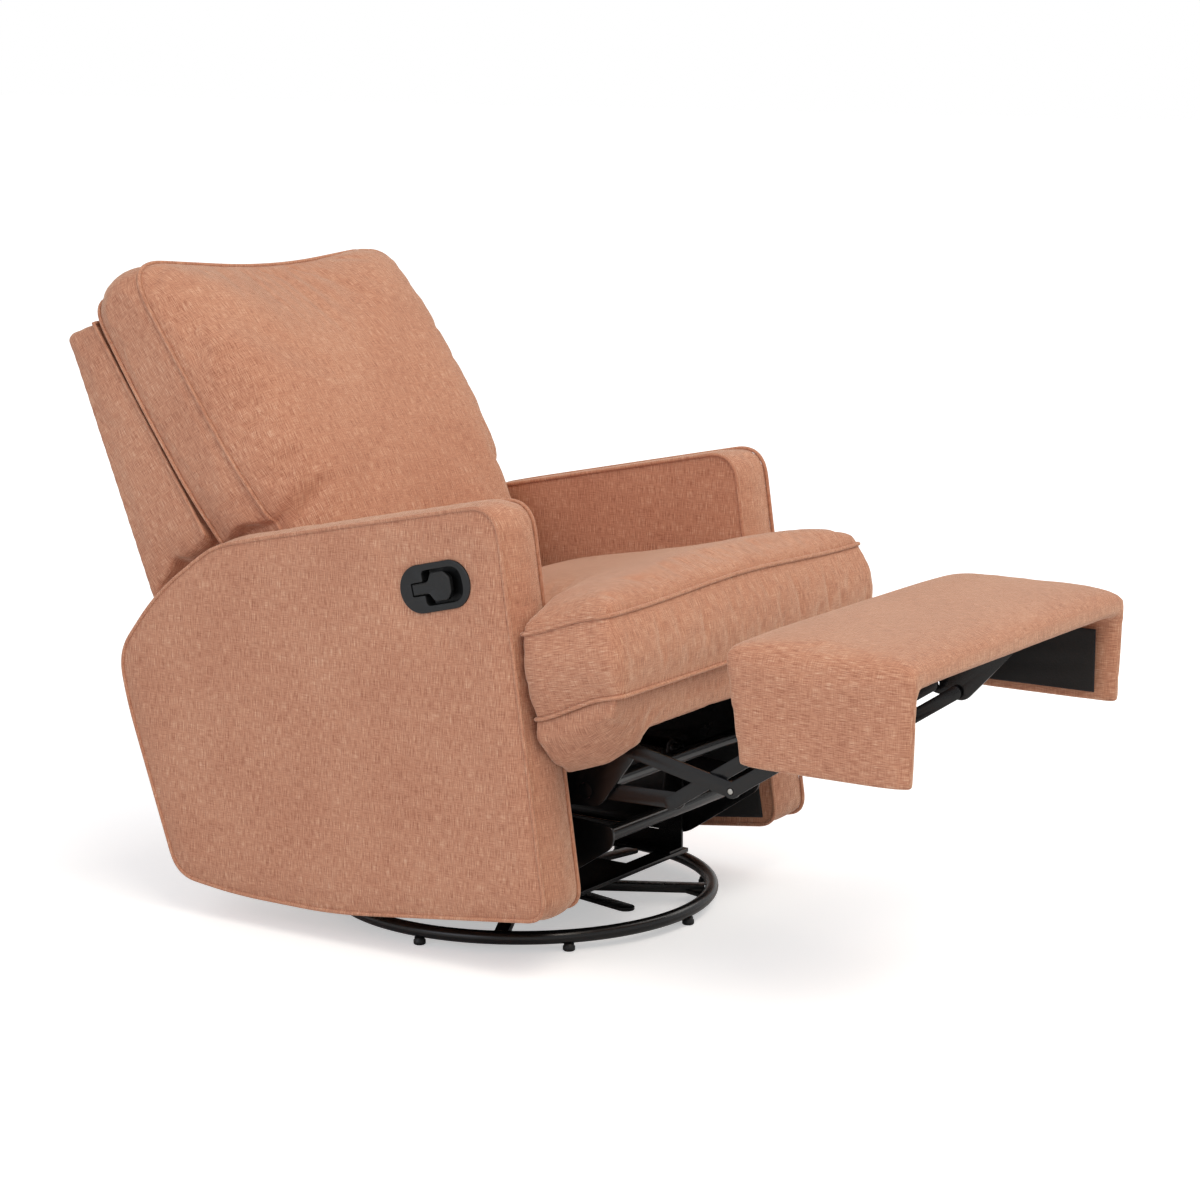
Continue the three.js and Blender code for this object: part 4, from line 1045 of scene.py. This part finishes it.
def build_apron():
    """Closed side outlines at rising X, joined: the board, then the ear blocks, which thin outwards."""
    front_top = seat_point(apron_inset, -seat_thickness - fit)
    board_rear = seat_point(apron_inset + apron_board, -seat_thickness - fit)
    rear_top = under_cushion(apron_rear, 0)
    board = np.array([front_top, *apron_board_foot, board_rear])
    low = np.array([front_top, *apron_ear_foot, rear_top])
    skirt = [under_cushion(y, apron_ear_skirt) for y, z in apron_ear_foot]
    high = np.array([front_top, *skirt, rear_top])
    ear = np.linspace(apron_inner, seat_ear_half - 0.001, 24)
    middle = np.linspace(-apron_inner + 0.002, apron_inner - 0.002, 90)
    x = np.concatenate([-ear[::-1], middle, ear])
    outer = np.clip((np.abs(x) - arm_inner) / (ear[-1] - arm_inner), 0, 1)[:, None, None]
    on_board = (np.abs(x) < apron_inner - 0.001)[:, None, None]
    corners = np.where(on_board, board, low + outer * (high - low))
    t = np.linspace(0, 1, 10, endpoint=False)[None, None, :, None]
    following = np.roll(corners, -1, axis=1)
    loops = (corners[:, :, None] * (1 - t) + following[:, :, None] * t).reshape(len(x), -1, 2)
    sideways = np.repeat(x[:, None, None], loops.shape[1], axis=1)
    rings = np.concatenate([sideways, loops], axis=2) + swivel
    rings = seat.place(settle(seat.local(rings)))
    mesh = closed_skin("apron_cover", rings, rings[0].mean(axis=0), rings[-1].mean(axis=0))
    apron = upholstered("apron_cover", face_outward(mesh), upright_front, "chair")
    top = np.array([seat.place(settle(np.array([u, apron_inset, -seat_thickness - fit]))) for u in x])

    def held(points):
        return seat.local(points)[:, 2] > -seat_thickness - 0.006 - ear_hang_bottom

    stuff(apron, [(top, False)], upright_front, grid=0.006, cap=0.003, pressure=1.5, slack=0.01, held=held,
          pucker=0.0, drawn=0.0)
    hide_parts("apron_front_board", "apron_ear_right", "apron_ear_left")


upright_front = Leaning(swivel, (1, 0, 0), (0, 0, 1), (0, -1, 0))
build_apron()


# Arms
# Plywood sides padded with foam, each in a piped cover: two faces and a boxing strip between two seams.

arm_outer = 0.355
arm_front = -0.284
arm_rear = 0.483
arm_bottom = 0.041
arm_top = 0.666
arm_crown = 0.003
arm_swells = {"right": 0.007, "left": 0.002}
arm_corner = 0.060
arm_outline_shares = [
    (0, 0.088), (0.483, 0.013), (0.72, 0.013), (0.866, 0.032), (0.979, 0.43), (1, 0.551),
    (0.9, 0.706), (0.757, 0.833), (0.66, 0.86), (0.107, 1),
]
arm_radius_shares = [0.5, 1, 1, 0.57, 1, 0.67, 1.5, 1, 1.5, 0.77]
handle_middle = np.array([-0.103, 0.545])
handle_turn = math.radians(-13.5)
handle_length = 0.122
handle_height = 0.068
pocket_margin = 0.007
pocket_depth = 0.0245


def oval_reach(length, height, angles):
    """Distance from the middle of a flat-sided oval to its edge, at angles from its long axis."""
    radius = height / 2
    straight = length / 2 - radius
    across, up = np.abs(np.cos(angles)), np.abs(np.sin(angles))
    to_side = radius / np.maximum(up, 1e-9)
    to_end = straight * across + np.sqrt(np.maximum(radius ** 2 - (straight * up) ** 2, 0))
    return np.where(to_side * across <= straight, to_side, to_end)


def build_arm(side_name, side):
    """A boxed pad in the arm's side outline; the right one has a pocket that the handle's bezel sits in."""
    size = np.array([arm_rear - arm_front, arm_top - arm_bottom])
    corners = np.array(arm_outline_shares) * size + (arm_front, arm_bottom)
    outline = rounded(corners, np.array(arm_radius_shares) * arm_corner, 0.008)
    low, high = sorted((side * arm_inner, side * arm_outer))
    crowns = (arm_crown, 0.0) if side < 0 else (0.0, arm_crown)
    rings, first, last = boxed_pad(outline, outline, handle_middle, low, high, *crowns, arm_swells[side_name])
    if side < 0:
        away = outline - handle_middle
        angles = np.arctan2(away[:, 1], away[:, 0])
        reach = oval_reach(handle_length - 2 * pocket_margin, handle_height - 2 * pocket_margin,
                           angles - handle_turn)
        rim = handle_middle + reach[:, None] * np.column_stack([np.cos(angles), np.sin(angles)])
        share = np.linspace(0, 0.985, 30)[:, None, None]
        rings[:30, :, :2] = rim + share * (outline - rim)
        crowned = rings[:30, :, 2] < low - 0.0001
        rings[:30, :, 2] = low - arm_crown * smooth(share[..., 0] * 4) * crowned
        depth = np.linspace(pocket_depth, 0.001, 6)[:, None]
        wall = np.repeat(rim[None], 6, axis=0)
        wall = np.concatenate([wall, np.repeat((low + depth)[..., None], len(rim), axis=1)], axis=2)
        floor = handle_middle + np.linspace(0.1, 0.9, 5)[:, None, None] * (rim - handle_middle)
        floor = np.concatenate([floor, np.full((5, len(rim), 1), low + pocket_depth)], axis=2)
        rings = np.concatenate([floor, wall, rings])
        first = np.array([*handle_middle, low + pocket_depth])
    name = f"arm_cover_{side_name}"
    arm = upholstered(name, upright.skin(name, rings, first, last), upright, "chair")

    def held(points):
        local = upright.local(points)
        near_handle = np.linalg.norm(local[:, :2] - handle_middle, axis=1) < 0.6 * handle_length
        return (side * local[:, 2] < arm_inner + 0.002) | (near_handle & (side < 0))

    seam_levels = {"outer": side * arm_outer, "inner": side * arm_inner}
    seams = [(upright.place(at_level(outline, x)), True) for x in seam_levels.values()]
    stuff(arm, seams, upright, grid=0.008, cap=0.003, pressure=2.0, slack=0.008, held=held)
    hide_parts(f"arm_{side_name}")
    line = outline + 0.5 * piping_radius * outward(outline)
    for place, x in seam_levels.items():
        path = upright.place(at_level(line, x))
        piping(f"arm_{place}_piping_{side_name}", path, upright, "chair")


build_arm("right", -1)
build_arm("left", 1)


# Release handle
# A black moulded bezel let into the right arm. Its well is keyhole shaped, and a T-shaped paddle swings in
# it about a pin in the slot.

bezel_depth = 0.021
bezel_lip = 0.003
bezel_wall = 0.0015
bezel_edge = 0.0008
well_middle = np.array([0.010, 0.0])
keyhole = [(-0.0405, -0.0097), (-0.019, -0.0097), (-0.019, -0.025), (0.048, -0.025), (0.048, 0.025),
           (-0.019, 0.025), (-0.019, 0.0097), (-0.0405, 0.0097)]
keyhole_radii = [0.002, 0.002, 0.010, 0.022, 0.022, 0.010, 0.002, 0.002]
paddle_outline = [(-0.039, -0.008), (-0.012, -0.008), (-0.004, -0.0202), (0.018, -0.0202), (0.0265, -0.010),
                  (0.0275, 0.010), (0.018, 0.0202), (-0.004, 0.0202), (-0.012, 0.008), (-0.039, 0.008)]
paddle_radii = [0.001, 0.004, 0.004, 0.004, 0.004, 0.004, 0.004, 0.004, 0.004, 0.001]
paddle_thickness = 0.009
paddle_dish = 0.0018
paddle_edge = 0.0012
moulded_sharp_from = math.radians(40)

tilt = -handle_turn
handle = Leaning(
    swivel + (-arm_outer - fit - bezel_lip, *handle_middle), (0, -math.cos(tilt), math.sin(tilt)),
    (0, math.sin(tilt), math.cos(tilt)), (-1, 0, 0),
)


def seen_from(middle, outline, angles):
    """Distance from a middle to an outline round it, at the given angles."""
    away = outline - middle
    heading = np.arctan2(away[:, 1], away[:, 0])
    return np.interp(angles, heading, np.hypot(away[:, 0], away[:, 1]), period=2 * np.pi)


def build_bezel():
    """Rings from the well's floor up its wall, over the rim and the flange, and back round the outside."""
    angles = np.linspace(0, 2 * np.pi, 240, endpoint=False)
    heading = np.column_stack([np.cos(angles), np.sin(angles)])
    oval = oval_reach(handle_length, handle_height, angles)[:, None] * heading
    edge = seen_from(well_middle, rounded(keyhole, keyhole_radii, 0.0006), angles)
    rim = seen_from(well_middle, oval, angles)
    soft = bezel_edge
    rows = [
        (0.3 * edge, -bezel_depth + bezel_wall), (0.98 * edge, -bezel_depth + bezel_wall),
        (edge, -bezel_depth + 0.002), (edge, -soft), (edge + 0.3 * soft, -0.3 * soft), (edge + soft, 0),
        (rim - 2 * soft, 0), (rim - 0.6 * soft, -0.5 * soft), (rim, -2 * soft), (rim, -bezel_lip),
        (edge + bezel_wall, -bezel_lip), (edge + bezel_wall, -bezel_depth), (0.3 * edge, -bezel_depth),
    ]
    rings = np.stack([at_level(well_middle + reach[:, None] * heading, level) for reach, level in rows])
    first, last = np.array([*well_middle, rows[0][1]]), np.array([*well_middle, -bezel_depth])
    name = "handle_bezel_moulding"
    mesh = face_outward(handle.skin(name, rings, first, last))
    bezel = finished(name, mesh, black_plastic, "chair")
    bezel.data.set_sharp_from_angle(angle=moulded_sharp_from)
    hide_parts("handle_bezel")


def build_paddle():
    """T-shaped plate: level = -dish (1 - s^2) at share s of the way out, with softened edges."""
    outline = rounded(paddle_outline, paddle_radii, 0.0008)
    share = np.linspace(0.08, 0.96, 12)[:, None, None]
    inset = outline - paddle_edge * outward(outline)
    top = well_middle + share * (inset - well_middle)
    dish = -0.0004 - paddle_dish * (1 - share ** 2) * np.ones((1, len(outline), 1))
    rows = [np.concatenate([top, dish], axis=2)]
    under = well_middle + 0.1 * (inset - well_middle)
    for flat, level in ((inset, -0.0003), (outline, -paddle_edge), (outline, paddle_edge - paddle_thickness),
                        (inset, -paddle_thickness), (under, -paddle_thickness)):
        rows.append(at_level(flat, level)[None])
    rings = np.concatenate(rows)
    first, last = np.array([*well_middle, -paddle_dish]), np.array([*well_middle, -paddle_thickness])
    name = "handle_paddle_moulding"
    mesh = face_outward(handle.skin(name, rings, first, last))
    paddle = finished(name, mesh, black_plastic, "handle")
    paddle.data.set_sharp_from_angle(angle=moulded_sharp_from)
    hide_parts("handle_paddle")


build_bezel()
build_paddle()


# Back cushion
# A deep boxed cushion, wider above the arms, with a full crowned face. Its top edge sags in the middle,
# where the cloth is gathered into the seam: a gather is its place across, its length and its depth.

back_foot = swivel + (0, 0.145, 0.432)
back_lean = math.radians(34.75)
back_boxing = 0.097
back_crown = 0.078
back_middle = 0.604
corner_bulge = 0.010
shell_gap = 0.011
gathers = [(-0.095, 0.030, 0.003), (-0.028, 0.040, 0.006), (0.045, 0.065, 0.009), (0.085, 0.035, 0.004)]
gather_slant = 0.9
gather_step = 0.004
gather_slope = 0.018
back_narrow_gap = 0.0045
back_narrow_to = 0.192
back_narrow_rise = 0.012
back_widening = 0.0315
back_widening_height = 0.018
back_right_side = [(0.262, 0.0), (0.264, 0.186), (0.276, 0.206), (0.290, 0.300), (0.293, 0.470)]
back_front_top = [(0.290, 0.622), (0.02, back_middle), (-0.291, 0.642)]
back_rear_top = [(0.284, 0.620), (0.02, back_middle), (-0.284, 0.640)]
back_side_radii = [0.030, 0.010, 0.010, 0.060, 0.080]
back_front_radii = [0.060, 0.300, 0.095]
back_rear_radii = [0.055, 0.300, 0.060]

back = Leaning(
    back_foot, (1, 0, 0), (0, math.sin(back_lean), math.cos(back_lean)),
    (0, -math.cos(back_lean), math.sin(back_lean)),
)


def narrowed(points):
    """Held in between the arms at its foot: |x| grows from the arm's inner face to the full width, and
    higher up towards the rear, which sinks furthest between the arms as the back moves.
    """
    local = back.local(points)
    start = back_narrow_to + back_narrow_rise * smooth(-local[:, 2] / 0.050)
    limit = arm_inner - back_narrow_gap + back_widening * smooth((local[:, 1] - start) / back_widening_height)
    local[:, 0] = np.clip(local[:, 0], -limit, limit)
    return back.place(local)


def back_seam(top, radii):
    """The outline up the right side, over the given top and down the left side."""
    left_side = [(-x, along) for x, along in back_right_side[::-1]]
    return rounded([*back_right_side, *top, *left_side],
                   [*back_side_radii, *radii, *back_side_radii[::-1]], cloth_step)


def build_back_cushion():
    """A boxed pad between two seams. Its crown is softer along the top and, over the seat, at the foot."""
    front_seam = back_seam(back_front_top, back_front_radii)
    rear_seam = back_seam(back_rear_top, back_rear_radii)
    rear_seam = evenly(rear_seam, cloth_step * len(rear_seam) / len(front_seam))[:len(front_seam)]
    to_corner = np.hypot(np.abs(front_seam[:, 0]) - 0.265, front_seam[:, 1] - 0.612)
    swell = 0.005 + corner_bulge * np.exp(-(to_corner / 0.045) ** 2)
    at_far_corner = smooth((front_seam[:, 0] - 0.12) / 0.12)
    at_top = smooth((front_seam[:, 1] - 0.44) / 0.18) * (1 - 0.55 * at_far_corner)
    at_foot = smooth((0.22 - front_seam[:, 1]) / 0.2)
    fullness = 1 - 0.75 * at_top - 0.6 * at_foot
    rings, first, last = boxed_pad(rear_seam, front_seam, np.array([0, 0.30]), -back_boxing, 0,
                                   shell_gap - 0.003, back_crown, swell, fullness, 5.4)
    name = "back_cushion_cover"
    cushion = upholstered(name, back.skin(name, rings, first, last), back, "back")
    seams = [(back.place(at_level(seam, level)), True)
             for seam, level in ((front_seam, 0), (rear_seam, -back_boxing))]

    def kept_in(points):
        """Each gather is a one-sided fold: steep on one side, sloping off on the other, fading downwards."""
        local = back.local(points)
        edge = back_middle + 0.03 * np.abs(local[:, 0]) / 0.29
        below = edge - local[:, 1]
        front = smooth((local[:, 2] - 0.002) / 0.01)
        for u, long, deep in gathers:
            slant = local[:, 0] - u - gather_slant * below
            fade = np.clip(1 - below / long, 0, 1) * smooth((below + 0.01) / 0.006)
            fold = np.where(slant > 0, np.exp(-slant / gather_slope), np.exp(-(slant / gather_step) ** 2))
            local[:, 2] -= front * deep * fade * fold
        return narrowed(back.place(local))

    stuff(cushion, seams, back, grid=0.0075, cap=0.012, slack=0.03, kept_in=kept_in,
          held=lambda points: back.local(points)[:, 2] < -back_boxing - 0.003)
    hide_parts("back_cushion")
    for seam, level, place in ((front_seam, 0.3 * piping_radius, "front"), (rear_seam, -back_boxing, "rear")):
        path = back.place(at_level(seam + 0.6 * piping_radius * outward(seam), level))
        piping(f"back_{place}_piping", narrowed(path), back, "back")


build_back_cushion()


# Outer back
# A wedge of foam on a plywood panel in the same cloth, piped round its front edge. Its lower sides are cut
# in by an arc about the hinge, so that it clears the arms as it leans.

shell_low_half = 0.255
shell_high_half = 0.291
shell_height = 0.602
shell_rise = 0.020
shell_front = back_boxing + shell_gap
shell_soft = 0.006
shell_section = [(0.060, shell_front), (-0.0569, shell_front + 0.1469), (-0.0369, shell_front + 0.2133),
                 (0.2074, shell_front + 0.1566), (shell_height + shell_rise, shell_front + 0.0640),
                 (shell_height, shell_front)]
shell_radii = 0.016 * np.array([1.5, 1, 1, 3.75, 0.8, 0.3])
shell_piped_from = 0.235
arc_rear = 0.282
arc_front = 0.266


def shell_half(y, z):
    """Half the shell's width at a point of its side: narrow inside the arc about the hinge, else wide."""
    hinge = joint_place("back_recline") - swivel
    away = np.hypot(y - hinge[1], z - hinge[2])
    heading = np.degrees(np.arctan2(z - hinge[2], y - hinge[1]))
    arc = arc_rear + (arc_front - arc_rear) * smooth((heading - 38) / 14)
    return shell_low_half + (shell_high_half - shell_low_half) * smooth((away - arc) / 0.008)


def build_outer_back():
    """The side section carried across to the shell's half width at each point, with quarter-round edges."""
    local = rounded(shell_section, shell_radii, cloth_step)
    behind = back.place(np.column_stack([np.zeros(len(local)), local[:, 0], -local[:, 1]]))
    side = upright.local(behind)[:, :2]
    rings, first, last = boxed_pad(side, side, side.mean(axis=0), -shell_high_half, shell_high_half,
                                   boxing_rows=110)
    half = shell_half(rings[..., 0], rings[..., 1])
    x = rings[..., 2]
    drawn = np.clip((np.abs(x) - (half - shell_soft)) / shell_soft, 0, 1)
    rings[..., 2] = np.sign(x) * np.minimum(np.abs(x), half)
    rings[..., :2] -= (shell_soft * (1 - np.sqrt(1 - drawn ** 2)))[..., None] * outward(side)
    middle_half = shell_half(*side.mean(axis=0))
    first[2], last[2] = -middle_half, middle_half
    name = "outer_back_cover"
    shell = upholstered(name, upright.skin(name, rings, first, last), back, "back")
    run = np.linspace(shell_piped_from, shell_height, 40)
    up_side = np.column_stack([np.full(40, -shell_high_half), run, np.full(40, -shell_front)])
    width = np.linspace(-shell_high_half, shell_high_half, 80)
    across = np.column_stack([width, np.full(80, shell_height), np.full(80, -shell_front)])
    down_side = up_side[::-1] * (-1, 1, 1)
    seam = np.vstack([up_side, across[1:-1], down_side])
    stuff(shell, [(back.place(seam), False)], back, grid=0.008, cap=0.003, pressure=2.0, slack=0.006,
          held=lambda points: back.local(points)[:, 2] > -shell_front - 0.004)
    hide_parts("outer_back")
    piping("outer_back_piping", back.place(seam), back, "back", closed=False)


build_outer_back()


# Footrest
# A padded board with a wing down each side, in one tight cover without piping.

footrest_half = 0.325
footrest_rear = -0.545
footrest_front = -0.831
footrest_top = 0.509
footrest_drop = 0.162
footrest_board = 0.038
footrest_wing = 0.026
footrest_crown = 0.014
wing_crown = 0.002
footrest_bend = 0.020
wing_rear_slant = 0.088
wing_front_slant = 0.025
footrest_squareness = 0.4


def build_footrest():
    """A section, (|cos t|^q, |sin t|^q) with the signs kept, carried along a U of two wings and the top."""
    bottom = footrest_top - footrest_drop
    angle = np.linspace(np.pi, np.pi / 2, 9)
    turn = footrest_bend * np.column_stack([np.cos(angle), np.sin(angle)])
    left = np.array([-footrest_half + footrest_bend, footrest_top - footrest_bend]) + turn
    path = np.vstack([[(-footrest_half, bottom)], left, left[::-1] * (-1, 1), [(footrest_half, bottom)]])
    path = evenly(path, cloth_step, closed=False)
    tangent = np.gradient(path, axis=0)
    tangent /= np.linalg.norm(tangent, axis=1, keepdims=True)
    out = np.column_stack([-tangent[:, 1], tangent[:, 0]])
    flat = np.abs(out[:, 1])
    share = (path[:, 1] - bottom) / footrest_drop
    depth_all = footrest_rear - footrest_front
    rear = footrest_rear - wing_rear_slant * depth_all * np.clip(1 - share / 0.9, 0, 1)
    front = footrest_front + wing_front_slant * depth_all * np.clip(1 - share / 0.88, 0, 1)
    t = np.linspace(0, 2 * np.pi, 64, endpoint=False)
    across = np.sign(np.cos(t)) * np.abs(np.cos(t)) ** footrest_squareness
    up = np.sign(np.sin(t)) * np.abs(np.sin(t)) ** footrest_squareness
    thick = footrest_wing + (footrest_board - footrest_wing) * flat
    y = ((rear + front) / 2)[:, None] + ((rear - front) / 2)[:, None] * across
    level = thick[:, None] * (up - 1) / 2
    end_share = np.clip(np.abs(path[:, 0]) / footrest_half, 0, 1)
    crown = (footrest_crown * flat * (1 - end_share ** 6) + wing_crown * (1 - flat))[:, None]
    level = level + crown * np.clip(up, 0, 1) * (1 - np.abs(across) ** 4)
    rings = np.stack([path[:, :1] + level * out[:, :1], y, path[:, 1:] + level * out[:, 1:]], axis=2) + swivel
    mesh = closed_skin("footrest_cover", rings, rings[0].mean(axis=0), rings[-1].mean(axis=0))
    cover = upholstered("footrest_cover", face_outward(mesh), upright_top, "footrest")

    def inner_side(points):
        x, z = np.abs(points[:, 0] - swivel[0]), points[:, 2]
        under = (x < footrest_half - footrest_wing + 0.003) & (z < footrest_top - footrest_board + 0.003)
        return under | (z < bottom + 0.002)

    stuff(cover, [(rings[0], True), (rings[-1], True)], upright_top, grid=0.007, cap=0.002, pressure=1.0,
          slack=0.005, held=inner_side, pucker=0.0, drawn=0.0)
    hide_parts("footrest_board")


upright_top = Leaning(swivel, (1, 0, 0), (0, 1, 0), (0, 0, 1))
build_footrest()
